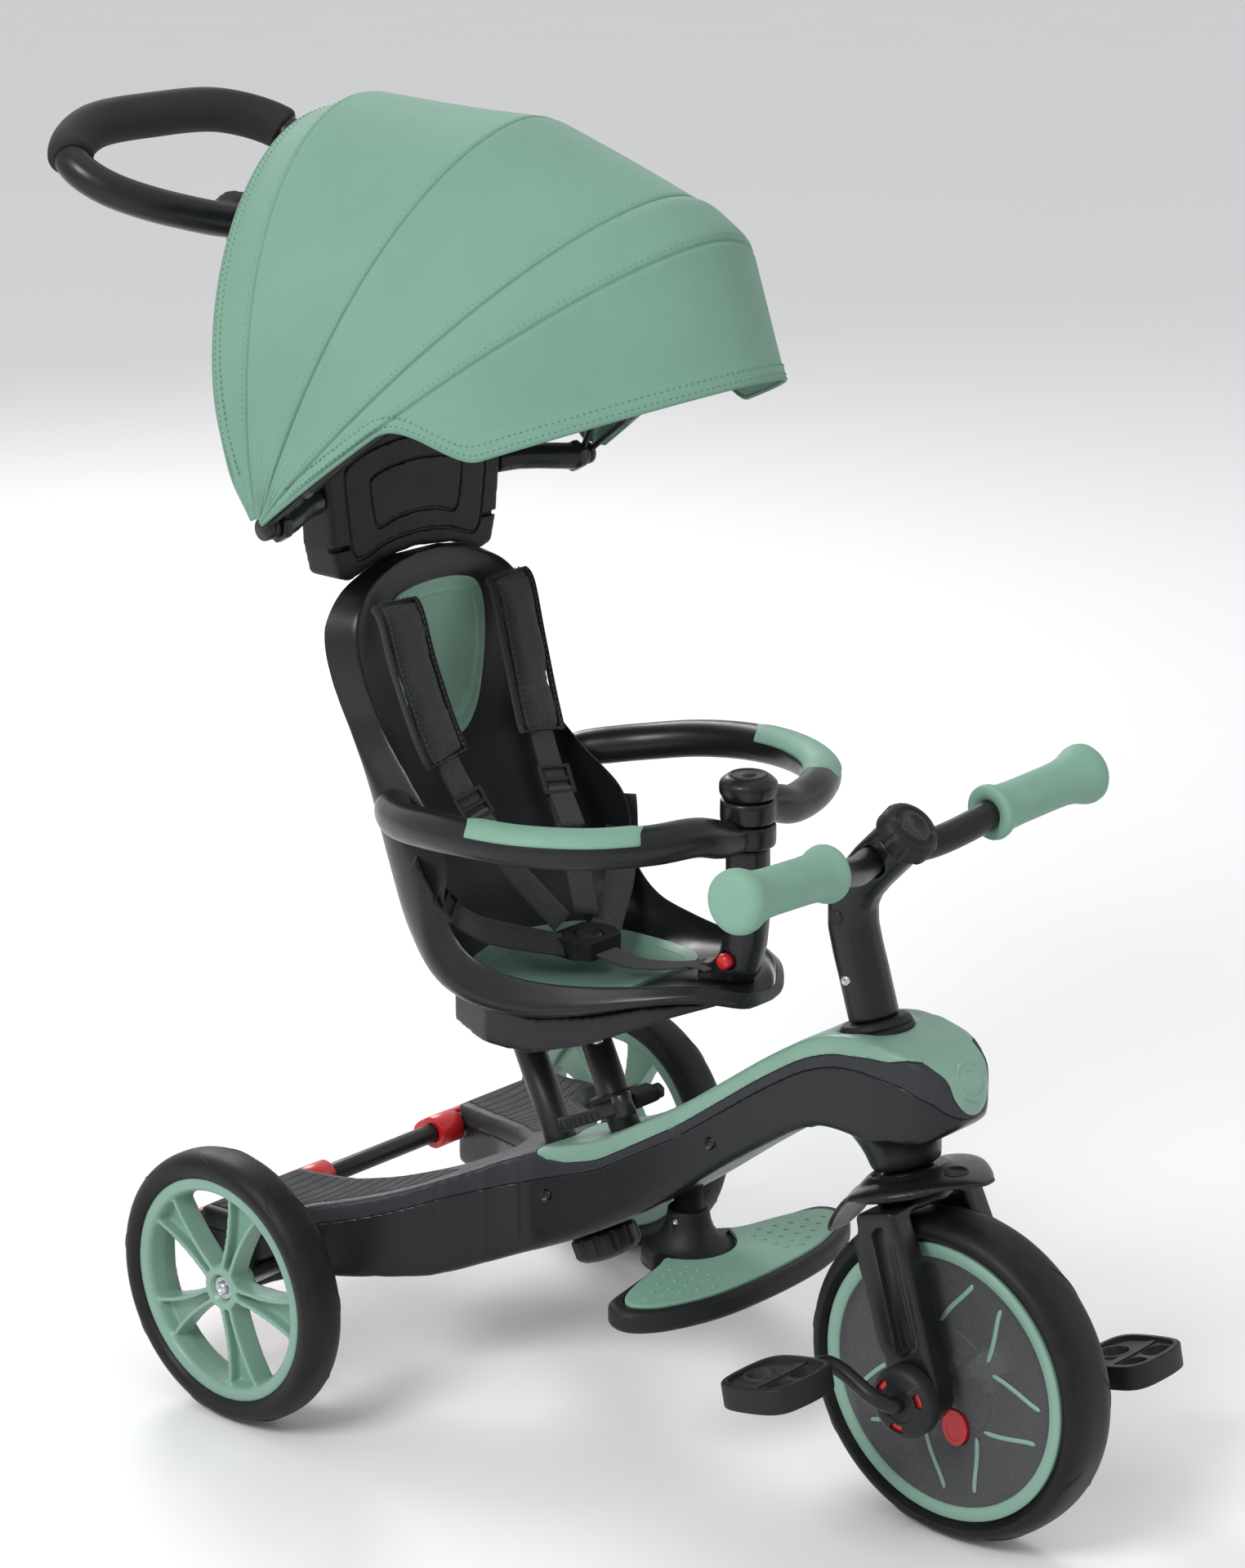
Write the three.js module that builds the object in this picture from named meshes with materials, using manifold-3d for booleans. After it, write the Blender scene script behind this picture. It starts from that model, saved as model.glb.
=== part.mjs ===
// Children's push tricycle with a parent handle, folding canopy, safety ring and harness.
// Millimetres, +Z up. The rider faces -Y and the rider's right hand is on the -X side.
// Inside this file Y is measured from the front axle; the exported group is shifted so that
// the origin lies under the centre of the whole tricycle.

import * as THREE from "three";
import { mergeVertices } from "three/addons/utils/BufferGeometryUtils.js";
import Module from "manifold-3d";

const wasm = await Module();
wasm.setup();

// ---------------------------------------------------------------- driving dimensions
const GAP = 0.4; // clearance between pieces that touch
const FIT = 0.6; // clearance round a piece that turns or slides

const FRONT_RADIUS = 125;
const FRONT_HALF_WIDTH = 24;
const FRONT_BEAD = 104; // radius where the front tyre meets its disc
const REAR_RADIUS = 110;
const REAR_HALF_WIDTH = 18.5;
const REAR_BEAD = 90;
const REAR_AXLE_Y = 534;
const REAR_TRACK = 227.5; // half of the distance between the rear wheels

const RAKE = THREE.MathUtils.degToRad(17.5); // lean of the steering axis
const HEAD_Y = 51; // where the fork meets the frame
const HEAD_Z = 274;
const STEERER_RADIUS = 14;
const CRANK_LENGTH = 57;
const CRANK_ANGLE = THREE.MathUtils.degToRad(28);
const PEDAL_X = 146;

const BEAM_HALF_WIDTH = 42;
const INSERT_DEPTH = 6; // thickness of the green top insert
const NOSE_EDGE = 331; // lower edge of the top insert on the nose
const DECK_BOTTOM = 95;
const DECK_OUTER = 200;
const PAD_DEPTH = 4; // thickness of the rubber deck pads
const FOOTREST_TOP = 152; // top of the footrest's plate
const KNOB_Y = 352; // where the locking knob hangs under the frame
const KNOB_TILT = THREE.MathUtils.degToRad(27);

const POST_TILT = THREE.MathUtils.degToRad(26); // lean of the two seat posts
const POST_RADIUS = 12.5;
const FRONT_POST_Y = 327;
const REAR_POST_Y = 396;

const SHELL_WALL = 11; // wall of the seat shell
const SHELL_WRAP = 24; // how far the shell's rim turns back along its sides
const RING_TUBE = 15; // radius of the safety ring
const RING_POST_Y = 206;
const RING_BUTTON_Y = 212; // centre of the release button on the ring's post
const RING_BUTTON_Z = 398;
const RING_Z = 503; // height of the ring where it meets its post

const HEADREST_Y = 545; // front face of the headrest
const CANOPY_HINGE_Y = 528;
const CANOPY_HINGE_Z = 704;
const CANOPY_HALF_WIDTH = 187;
const CANOPY_HUB_X = 158; // inner face of each canopy hinge block
const FABRIC = 3; // thickness of the canopy panels

const HANDLE_TUBE_RADIUS = 13;
const HANDLE_LEAN = THREE.MathUtils.degToRad(10.6);
const HANDLE_REAR = 854.3; // furthest point behind the front axle

const MIDDLE_Y = (HANDLE_REAR - FRONT_RADIUS) / 2;
const SIDES = { right: -1, left: 1 };

// ---------------------------------------------------------------- colours
const paint = (color, roughness, metalness = 0) =>
  new THREE.MeshStandardMaterial({ color, roughness, metalness });
const BLACK = paint(0x1b1c1e, 0.5);
const CHARCOAL = paint(0x4b4c50, 0.65);
const GREEN = paint(0x6fa98c, 0.55);
const FABRIC_GREEN = paint(0x6ba286, 0.85);
const RUBBER = paint(0x232325, 0.8);
const WEBBING = paint(0x18181a, 0.95);
const RED = paint(0xd5222f, 0.45);
const STEEL = paint(0x2a2a2c, 0.35, 0.7);

// ---------------------------------------------------------------- building helpers
const v2 = (x, y) => new THREE.Vector2(x, y);
const v3 = (x, y, z) => new THREE.Vector3(x, y, z);
const root = new THREE.Group();
root.position.y = -MIDDLE_Y;

// A closed geometry as a manifold solid, turned right side out.
function solid(geometry) {
  const bare = geometry.clone();
  bare.deleteAttribute("normal");
  bare.deleteAttribute("uv");
  const merged = mergeVertices(bare, 1e-3);
  const index = merged.index.array;
  const kept = [];
  for (let i = 0; i < index.length; i += 3) {
    const [a, b, c] = [index[i], index[i + 1], index[i + 2]];
    if (a !== b && b !== c && c !== a) kept.push(a, b, c);
  }
  const make = (triangles) =>
    new wasm.Manifold(
      new wasm.Mesh({
        numProp: 3,
        vertProperties: merged.attributes.position.array,
        triVerts: new Uint32Array(triangles),
      }),
    );
  const made = make(kept);
  return made.volume() < 0 ? make(kept.reverse()) : made;
}

const join = (first, ...others) => others.reduce((all, one) => all.add(one), first);
const cut = (first, ...others) => others.reduce((all, one) => all.subtract(one), first);

// A named mesh of one solid, in a group.
function piece(name, body, material, parent = root) {
  const made = body.getMesh();
  const geometry = new THREE.BufferGeometry();
  geometry.setAttribute("position", new THREE.BufferAttribute(made.vertProperties, 3));
  geometry.setIndex(new THREE.BufferAttribute(made.triVerts, 1));
  geometry.computeVertexNormals();
  const mesh = new THREE.Mesh(geometry, material);
  mesh.name = name;
  parent.add(mesh);
  return mesh;
}

const moved = (body, x, y, z) => body.translate([x, y, z]);
const AXIS_X = v3(1, 0, 0);
const AXIS_Y = v3(0, 1, 0);
const AXIS_Z = v3(0, 0, 1);

// A round solid from (radius, height) points, turned about the line through centre along axis.
function turned(profile, segments, centre = v3(0, 0, 0), axis = AXIS_X, twist = 0) {
  const geometry = new THREE.LatheGeometry(
    profile.map(([radius, height]) => v2(radius, height)),
    segments,
    twist,
  );
  geometry.applyQuaternion(new THREE.Quaternion().setFromUnitVectors(AXIS_Y, axis));
  geometry.translate(centre.x, centre.y, centre.z);
  return solid(geometry);
}

// A plain round bar between two points.
function bar(from, to, radius, segments = 12) {
  const length = from.distanceTo(to);
  const axis = to.clone().sub(from).normalize();
  const profile = [
    [0, 0],
    [radius, 0],
    [radius, length],
    [0, length],
  ];
  return turned(profile, segments, from, axis);
}

// A round tube along a smooth curve.
function tube(points, radius, sides = 8, steps = 12, closed = false) {
  const section = new THREE.Shape();
  for (let i = 0; i < sides; i += 1) {
    const angle = (2 * Math.PI * i) / sides;
    const [x, y] = [radius * Math.cos(angle), radius * Math.sin(angle)];
    if (i === 0) section.moveTo(x, y);
    else section.lineTo(x, y);
  }
  const path = new THREE.CatmullRomCurve3(points, closed, "centripetal");
  return solid(new THREE.ExtrudeGeometry(section, { steps, extrudePath: path }));
}

// An outline in a plane, as a slab from low to high along the third axis.
function slabUp(outline, low, high) {
  const shape = new THREE.Shape(outline.map(([x, y]) => v2(x, y)));
  const geometry = new THREE.ExtrudeGeometry(shape, { depth: high - low, bevelEnabled: false });
  geometry.translate(0, 0, low);
  return solid(geometry);
}

// An outline of (y, z) points, as a slab from low to high along X.
function slabAcross(outline, low, high) {
  const shape = new THREE.Shape(outline.map(([y, z]) => v2(y, z)));
  const geometry = new THREE.ExtrudeGeometry(shape, { depth: high - low, bevelEnabled: false });
  geometry.applyMatrix4(
    new THREE.Matrix4().makeBasis(AXIS_Y, AXIS_Z, AXIS_X).setPosition(low, 0, 0),
  );
  return solid(geometry);
}

// An outline of (x, z) points, as a slab from a front to a back distance along Y.
function slabBack(outline, front, back) {
  const shape = new THREE.Shape(outline.map(([x, z]) => v2(x, z)));
  const geometry = new THREE.ExtrudeGeometry(shape, { depth: back - front, bevelEnabled: false });
  geometry.applyMatrix4(
    new THREE.Matrix4().makeBasis(AXIS_X, AXIS_Z, v3(0, -1, 0)).setPosition(0, back, 0),
  );
  return solid(geometry);
}

// The value at x of a line given as (x, value) points.
function along(points, x) {
  if (x <= points[0][0]) return points[0][1];
  for (let i = 1; i < points.length; i += 1) {
    const [x0, a] = points[i - 1];
    const [x1, b] = points[i];
    if (x <= x1) {
      const t = (x - x0) / (x1 - x0);
      return a + (b - a) * t;
    }
  }
  return points[points.length - 1][1];
}

// A solid through a row of rings with equal numbers of points, with flat ends.
function loft(rings) {
  const count = rings[0].length;
  const points = rings.flat();
  const triangles = [];
  for (let r = 0; r + 1 < rings.length; r += 1) {
    for (let i = 0; i < count; i += 1) {
      const a = r * count + i;
      const b = r * count + ((i + 1) % count);
      triangles.push(a, b, b + count, a, b + count, a + count);
    }
  }
  const fan = (start, flip) => {
    const middle = v3(0, 0, 0);
    for (let i = 0; i < count; i += 1) middle.addScaledVector(points[start + i], 1 / count);
    const centre = points.push(middle) - 1;
    for (let i = 0; i < count; i += 1) {
      const [a, b] = [start + i, start + ((i + 1) % count)];
      triangles.push(...(flip ? [centre, b, a] : [centre, a, b]));
    }
  };
  fan(0, true);
  fan((rings.length - 1) * count, false);
  return fromTriangles(points, triangles);
}

// A wall between two grids of points, closed all round its edge.
function wall(front, back) {
  const [rows, columns] = [front.length, front[0].length];
  const points = [...front.flat(), ...back.flat()];
  const at = (side, i, j) => side * rows * columns + i * columns + j;
  const triangles = [];
  const quad = (a, b, c, d) => triangles.push(a, b, c, a, c, d);
  for (let i = 0; i + 1 < rows; i += 1) {
    for (let j = 0; j + 1 < columns; j += 1) {
      quad(at(0, i, j), at(0, i, j + 1), at(0, i + 1, j + 1), at(0, i + 1, j));
      quad(at(1, i, j), at(1, i + 1, j), at(1, i + 1, j + 1), at(1, i, j + 1));
    }
  }
  for (let j = 0; j + 1 < columns; j += 1) {
    quad(at(0, 0, j), at(1, 0, j), at(1, 0, j + 1), at(0, 0, j + 1));
    const last = rows - 1;
    quad(at(0, last, j), at(0, last, j + 1), at(1, last, j + 1), at(1, last, j));
  }
  for (let i = 0; i + 1 < rows; i += 1) {
    quad(at(0, i, 0), at(0, i + 1, 0), at(1, i + 1, 0), at(1, i, 0));
    const last = columns - 1;
    quad(at(0, i, last), at(1, i, last), at(1, i + 1, last), at(0, i + 1, last));
  }
  return fromTriangles(points, triangles);
}

function fromTriangles(points, triangles) {
  const geometry = new THREE.BufferGeometry().setFromPoints(points);
  geometry.setIndex(triangles);
  return solid(geometry);
}

// A flat strap through points, its width along X turned by the angle given with each point.
function strap(stations, width, thickness) {
  const centres = stations.map(([x, y, z]) => v3(x, y, z));
  const rings = centres.map((centre, i) => {
    const before = centres[Math.max(i - 1, 0)];
    const after = centres[Math.min(i + 1, centres.length - 1)];
    const run = after.clone().sub(before).normalize();
    const turn = stations[i][3] ?? 0;
    const across = v3(Math.cos(turn), 0, Math.sin(turn));
    across.addScaledVector(run, -across.dot(run)).normalize();
    const normal = run.clone().cross(across);
    return [
      [1, 1],
      [-1, 1],
      [-1, -1],
      [1, -1],
    ].map(([a, b]) =>
      centre
        .clone()
        .addScaledVector(across, (a * width) / 2)
        .addScaledVector(normal, (b * thickness) / 2),
    );
  });
  return loft(rings);
}

// A box with its centre at a point.
const block = (width, depth, height, centre) =>
  solid(new THREE.BoxGeometry(width, depth, height).translate(centre.x, centre.y, centre.z));

// ---------------------------------------------------------------- frame
// Height of the top surface and of the underside of the frame along its length.
const TOP_LINE = [
  [-9, 350],
  [1, 364],
  [26, 376],
  [62, 381],
  [90, 378],
  [118, 367],
  [158, 341],
  [237, 283],
  [320, 232],
  [396, 202],
  [440, 182],
  [470, 170],
  [505, 160],
  [545, 152],
  [600, 149],
];
// Height of the charcoal trim along the top of the frame.
const TRIM_DEPTH = [
  [396, 24],
  [440, 16],
  [600, 15],
];
// How far the green insert folds down over both sides of the spine.
const INSERT_FOLD = [
  [26, 6],
  [62, 13],
  [320, 15],
  [384, 4],
];
const UNDERSIDE = [
  [14, 308],
  [60, 303],
  [112, 303],
  [190, 249],
  [271, 186],
  [335, 146],
  [392, 117],
  [440, 99],
  [480, DECK_BOTTOM],
  [600, DECK_BOTTOM],
];

// Half of the frame seen from above, from the nose back along the outer edge of one arm.
const PLAN_OUTER = [
  [0, -11],
  [14, -8],
  [27, 0],
  [37, 17],
  [BEAM_HALF_WIDTH, 48],
  [BEAM_HALF_WIDTH, 395],
  [60, 418],
  [98, 442],
  [130, 484],
  [152, 516],
  [178, 532],
  [DECK_OUTER, 536],
  [DECK_OUTER, 600],
];
const PLAN_INNER = [
  [90, 600],
  [80, 542],
  [64, 505],
  [34, 466],
  [0, 450],
];

function framePlan() {
  const half = [...PLAN_OUTER, ...PLAN_INNER];
  const other = half.slice(1, -1).map(([x, y]) => [-x, y]);
  return [...half, ...other.reverse()];
}

// The frame's side outline between two lines of (y, z) points.
const between = (upper, lower) => [...upper, ...[...lower].reverse()];
const lowered = (line, depth) => line.map(([y, z]) => [y, z - depth]);

function postAxis() {
  return v3(0, Math.sin(POST_TILT), Math.cos(POST_TILT));
}

function postAt(y, distance) {
  const start = v3(0, y, along(TOP_LINE, y));
  return start.addScaledVector(postAxis(), distance);
}

function steeringAxis() {
  return v3(0, Math.sin(RAKE), Math.cos(RAKE));
}

function onSteering(height) {
  return v3(0, HEAD_Y, HEAD_Z).addScaledVector(steeringAxis(), height);
}

// The line between the upper trim and the shell below it.
const trimSeam = (gap) =>
  TOP_LINE.map(([y, z]) => [y, z - along(TRIM_DEPTH, y) - gap]);

function frameBores() {
  const knobStart = v3(0, KNOB_Y, along(UNDERSIDE, KNOB_Y));
  const posts = [FRONT_POST_Y, REAR_POST_Y].map((y) =>
    bar(postAt(y, -54), postAt(y, 20), POST_RADIUS + FIT),
  );
  const axles = Object.values(SIDES).map((sign) =>
    bar(v3(sign * 150, REAR_AXLE_Y, 110), v3(sign * 210, REAR_AXLE_Y, 110), 6 + GAP),
  );
  return [
    bar(onSteering(-5), onSteering(130), STEERER_RADIUS + 4),
    bar(onSteering(97), onSteering(130), 27 + GAP, 20),
    bar(
      knobStart.clone().addScaledVector(knobAxis(), 5),
      knobStart.clone().addScaledVector(knobAxis(), -20),
      9 + FIT,
    ),
    bar(v3(0, 268, 160), v3(0, 268, 205), 11 + GAP),
    bar(v3(-160, 600, 131), v3(160, 600, 131), 9),
    ...posts,
    ...axles,
  ];
}

// The round boss under the nose that the fork turns against.
function headBoss() {
  const profile = [
    [0, GAP],
    [27, GAP],
    [28, 12],
    [32, 24],
    [38, 36],
    [38, 50],
    [0, 50],
  ];
  return turned(profile, 18, onSteering(0), steeringAxis());
}

function frame() {
  const whole = slabUp(framePlan(), 80, 400);
  const bores = frameBores();
  const halfWidth = DECK_OUTER + 10;
  const lower = slabAcross(between(trimSeam(GAP), UNDERSIDE), -halfWidth, halfWidth);
  piece("frame_shell", cut(join(whole.intersect(lower), headBoss()), ...bores), BLACK);
  const band = slabAcross(between(TOP_LINE, trimSeam(0)), -halfWidth, halfWidth);
  const beds = Object.values(SIDES).map((sign) =>
    slabUp(padOutline(sign, GAP), 140, 220).intersect(padBand(PAD_DEPTH, 6)),
  );
  const insertBed = insertBand(INSERT_DEPTH, 6).intersect(slabUp(insertPlan(GAP), 150, 420));
  const trim = cut(whole.intersect(band), ...bores, insertBed, insertSides(GAP, 6), ...beds);
  piece("frame_upper_trim", largest(trim), CHARCOAL);
  const insert = insertBand(INSERT_DEPTH - GAP, 0)
    .intersect(slabUp(insertPlan(0), 150, 420))
    .add(insertSides(0, 0))
    .intersect(whole);
  piece("frame_top_insert", largest(cut(insert, ...bores)), GREEN);
}

// The green insert's thickness along the top line and down over the nose.
function insertBand(depth, above) {
  const line = TOP_LINE.filter(([y]) => y > 0 && y < 430);
  const upper = line.map(([y, z]) => [y, z + above]);
  const nose = [
    [-30, NOSE_EDGE - depth / 6],
    [-30, 350 + above],
    [-9, 350 + above],
  ];
  const back = [
    [depth - 10, 352],
    [depth - 15.5, NOSE_EDGE - depth / 6],
  ];
  return slabAcross([...nose, ...upper, ...lowered(line, depth).reverse(), ...back], -60, 60);
}

// The part of the insert that folds down over the sides of the spine.
function insertSides(gap, above) {
  const [first, last] = [INSERT_FOLD[0][0] - gap, INSERT_FOLD.at(-1)[0] + gap];
  const inside = TOP_LINE.filter(([y]) => y > first && y < last);
  const line = [[first, along(TOP_LINE, first)], ...inside, [last, along(TOP_LINE, last)]];
  const upper = line.map(([y, z]) => [y, z + above]);
  const lower = line.map(([y, z]) => [y, z - along(INSERT_FOLD, y) - gap]);
  return slabAcross(between(upper, lower), -60, 60);
}

function insertPlan(grow) {
  return mirroredOutline([
    [0, -14],
    [15 + grow, -9],
    [26 + grow, 8],
    [32 + grow, 42],
    [34 + grow, 85],
    [27 + grow, 130],
    [22 + grow, 200],
    [19 + grow, 300],
    [15 + grow, 365],
    [8 + grow, 392],
    [0, 396 + grow],
  ]);
}

// An outline whose half runs from the axis round to the axis again.
function mirroredOutline(half) {
  const other = half.filter(([x]) => x > 0).map(([x, y]) => [-x, y]);
  return [...half, ...other.reverse()];
}

function padOutline(sign, grow) {
  const half = [
    [100 - grow, 594 + grow],
    [90 - grow, 545],
    [74 - grow, 505],
    [52 - grow, 473],
    [60, 448 - grow],
    [92 + grow, 456],
    [124 + grow, 494],
    [146 + grow, 524],
    [176 + grow, 540 - grow],
    [192 + grow, 545],
    [192 + grow, 594 + grow],
  ];
  return half.map(([x, y]) => [sign * x, y]);
}

function padBand(depth, above) {
  const line = TOP_LINE.filter(([y]) => y >= 440);
  const upper = line.map(([y, z]) => [y, z + above]);
  return slabAcross(between(upper, lowered(line, depth)), -DECK_OUTER, DECK_OUTER);
}

function deckPads() {
  for (const [side, sign] of Object.entries(SIDES)) {
    const pad = padBand(PAD_DEPTH - GAP, 0).intersect(slabUp(padOutline(sign, 0), 130, 220));
    piece(`deck_pad_${side}`, pad, CHARCOAL);
  }
}

function rearAxles() {
  for (const [side, sign] of Object.entries(SIDES)) {
    const inner = v3(sign * 152, REAR_AXLE_Y, 110);
    const profile = [
      [0, 0],
      [6, 0],
      [6, REAR_TRACK - 152 + 2],
      [9, REAR_TRACK - 152 + 2],
      [9, REAR_TRACK - 152 + 6],
      [0, REAR_TRACK - 152 + 6],
    ];
    piece(`rear_axle_${side}`, turned(profile, 16, inner, v3(sign, 0, 0)), STEEL);
  }
}

function headCollar() {
  const profile = [
    [STEERER_RADIUS + 0.7, 98],
    [27, 98],
    [27, 109],
    [24, 111],
    [STEERER_RADIUS + 0.7, 111],
    [STEERER_RADIUS + 0.7, 98],
  ];
  piece("head_collar", turned(profile, 20, onSteering(0), steeringAxis()), BLACK);
}

// Direction in which the locking knob hangs, square to the frame's underside.
function knobAxis() {
  return v3(0, -Math.sin(KNOB_TILT), -Math.cos(KNOB_TILT));
}

function lockKnob() {
  const start = v3(0, KNOB_Y, along(UNDERSIDE, KNOB_Y));
  const profile = [
    [0, -18],
    [9, -18],
    [9, 2],
    [27, 2],
    [27, 18],
    [22, 24],
    [0, 24],
  ];
  piece("frame_lock_knob", turned(profile, 16, start, knobAxis()), BLACK);
}

// ---------------------------------------------------------------- footrest
function footrest() {
  const outline = mirroredOutline([
    [0, 170],
    [60, 174],
    [104, 188],
    [126, 205],
    [130, 222],
    [120, 236],
    [92, 243],
    [55, 252],
    [30, 270],
    [0, 277],
  ]);
  const post = bar(v3(0, 268, 150), v3(0, 268, 203), 11, 20);
  const cone = turned(
    [
      [0, 0],
      [34, 0],
      [24, 10],
      [17, 22],
      [16, 30],
      [0, 30],
    ],
    24,
    v3(0, 262, FOOTREST_TOP - 4),
    AXIS_Z,
  );
  const plate = slabUp(outline, FOOTREST_TOP - 18, FOOTREST_TOP);
  const padOutline = mirroredOutline([
    [0, 178],
    [58, 182],
    [99, 195],
    [117, 208],
    [120, 220],
    [111, 229],
    [86, 238],
    [52, 247],
    [36, 252],
    [0, 240],
  ]);
  const recess = slabUp(
    padOutline.map(([x, y]) => [x * 1.01, 210 + (y - 210) * 1.02]),
    FOOTREST_TOP - 3,
    FOOTREST_TOP + 6,
  );
  const base = join(cut(plate, recess), cone, post);
  piece("footrest_base", base, BLACK);
  const pad = slabUp(padOutline, FOOTREST_TOP - 3 + GAP, FOOTREST_TOP + 2);
  piece("footrest_pad", cut(pad, coneRoom()), GREEN);
}

function coneRoom() {
  return bar(v3(0, 262, 130), v3(0, 262, 180), 34 + GAP, 24);
}

// ---------------------------------------------------------------- parking brake
const BRAKE_HUB_X = 74; // middle of each brake hub on the cross tube

function brake() {
  const tubeEnds = 158;
  piece("brake_cross_tube", bar(v3(-tubeEnds, 600, 131), v3(tubeEnds, 600, 131), 8), STEEL);
  for (const [side, sign] of Object.entries(SIDES)) {
    const hub = turned(
      [
        [8 + GAP, 0],
        [12, 0],
        [12, 26],
        [8 + GAP, 26],
        [8 + GAP, 0],
      ],
      14,
      v3(sign * BRAKE_HUB_X - 13, 600, 131),
      AXIS_X,
    );
    const paddle = slabAcross(
      [
        [609, 137],
        [638, 122],
        [641, 112],
        [636, 109],
        [609, 122],
      ],
      Math.min(sign * (BRAKE_HUB_X + 7), sign * 196),
      Math.max(sign * (BRAKE_HUB_X + 7), sign * 196),
    );
    piece(`brake_pedal_${side}`, join(hub, paddle), RED);
  }
}

// ---------------------------------------------------------------- rear wheels
function ringProfile(inner, outer, half) {
  return [
    [inner, -half],
    [outer - 10, -half],
    [outer - 2, -half * 0.62],
    [outer, -half * 0.3],
    [outer, half * 0.3],
    [outer - 2, half * 0.62],
    [outer - 10, half],
    [inner, half],
    [inner, -half],
  ];
}

// A wheel ring with a flat facet at its lowest point.
function tyre(inner, radius, half, segments, centre) {
  const twist = Math.PI / segments;
  return turned(
    ringProfile(inner / Math.cos(twist), radius / Math.cos(twist), half),
    segments,
    centre,
    AXIS_X,
    twist,
  );
}

function rearWheels() {
  const segments = 28;
  const spokes = 5;
  for (const [side, sign] of Object.entries(SIDES)) {
    const centre = v3(sign * REAR_TRACK, REAR_AXLE_Y, REAR_RADIUS);
    piece(
      `rear_tyre_${side}`,
      tyre(REAR_BEAD, REAR_RADIUS, REAR_HALF_WIDTH, segments, centre),
      RUBBER,
    );
    const rim = turned(
      [
        [78, -12],
        [REAR_BEAD - GAP, -12],
        [REAR_BEAD - GAP, 12],
        [78, 12],
        [78, -12],
      ],
      segments,
      v3(0, 0, 0),
      AXIS_X,
      Math.PI / segments,
    );
    const boss = turned(
      [
        [6 + FIT, -12],
        [16, -12],
        [16, -2],
        [6 + FIT, -2],
        [6 + FIT, -12],
      ],
      12,
    );
    const spokeList = [];
    for (let i = 0; i < spokes; i += 1) {
      const spoke = block(10, 20, 70, v3(0, 0, 45)).rotate([(360 * i) / spokes + 20, 0, 0]);
      spokeList.push(moved(spoke, -6, 0, 0));
    }
    const rimBody = join(rim, boss, ...spokeList);
    const facing = sign > 0 ? rimBody : rimBody.rotate([0, 0, 180]);
    piece(`rear_rim_${side}`, moved(facing, centre.x, centre.y, centre.z), GREEN);
  }
}

// ---------------------------------------------------------------- steering
const steering = new THREE.Group();
steering.position.set(0, HEAD_Y, HEAD_Z);
steering.rotation.x = -RAKE;
root.add(steering);

// The front axle in the steering group's own frame.
function hubInSteering() {
  const fromHead = v3(0, -HEAD_Y, FRONT_RADIUS - HEAD_Z);
  return fromHead.applyAxisAngle(AXIS_X, RAKE);
}

const LEG_INNER = 31;
const LEG_OUTER = 54;

function fork() {
  const hub = hubInSteering();
  const neck = turned(
    [
      [0, 0],
      [0, -26],
      [30, -26],
      [24, -12],
      [22, -GAP],
      [STEERER_RADIUS, -GAP],
      [STEERER_RADIUS, 150],
      [0, 150],
    ].slice(1),
    18,
    v3(0, 0, 0),
    AXIS_Z,
  );
  const crown = block(2 * LEG_OUTER, 34, 7, v3(0, -4, -24));
  const legOutline = [
    [14, -20],
    [18, -60],
    [hub.y + 22, hub.z + 8],
    [hub.y + 20, hub.z - 12],
    [hub.y + 8, hub.z - 22],
    [hub.y - 8, hub.z - 22],
    [hub.y - 20, hub.z - 12],
    [hub.y - 22, hub.z + 8],
    [-26, -60],
    [-20, -20],
  ];
  const slotOutline = [
    [8, -40],
    [hub.y + 11, hub.z + 36],
    [hub.y - 11, hub.z + 36],
    [-15, -40],
  ];
  const axleBore = bar(v3(-90, hub.y, hub.z), v3(90, hub.y, hub.z), 8 + FIT);
  const legs = Object.values(SIDES).map((sign) => {
    const leg = slabAcross(legOutline, LEG_INNER, LEG_OUTER);
    const slot = slabAcross(slotOutline, LEG_OUTER - 7, LEG_OUTER + 5);
    const made = cut(leg, slot);
    return sign > 0 ? made : made.mirror([1, 0, 0]);
  });
  piece("fork", cut(join(neck, crown, ...legs), axleBore), BLACK, steering);
}

// Mudguard: a saddle over the front wheel with a narrow tip at each end.
function fender() {
  const stations = [
    [36, 12, 141],
    [48, 22, 147],
    [60, 40, 151],
    [70, 55, 153],
    [82, 50, 154],
    [92, 34, 157],
    [101, 12, 161],
  ];
  const columns = 6;
  const makeGrid = (offset) =>
    stations.map(([degrees, half, radius]) => {
      const angle = THREE.MathUtils.degToRad(degrees);
      return Array.from({ length: columns + 1 }, (_, j) => {
        const u = (2 * j) / columns - 1;
        const reach = radius + offset - 9 * u * u * (half / 55);
        return v3(
          u * half,
          reach * Math.cos(angle),
          FRONT_RADIUS + reach * Math.sin(angle),
        );
      });
    });
  const body = wall(makeGrid(0), makeGrid(3.5));
  const neckHole = bar(onSteering(-40), onSteering(20), 27, 24);
  piece("fender", cut(body, neckHole), BLACK);
}

const BRANCH_LIFT = THREE.MathUtils.degToRad(46); // slope of the stem's top branch
const BAR_CENTRE = v3(0, 80, 504);
const BAR_RADIUS = 11;

// The stem's top branch runs up and forward from the handlebar to the clamping knob.
const branchAxis = () => v3(0, -Math.cos(BRANCH_LIFT), Math.sin(BRANCH_LIFT));
const onBranch = (distance) => BAR_CENTRE.clone().addScaledVector(branchAxis(), distance);

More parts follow.
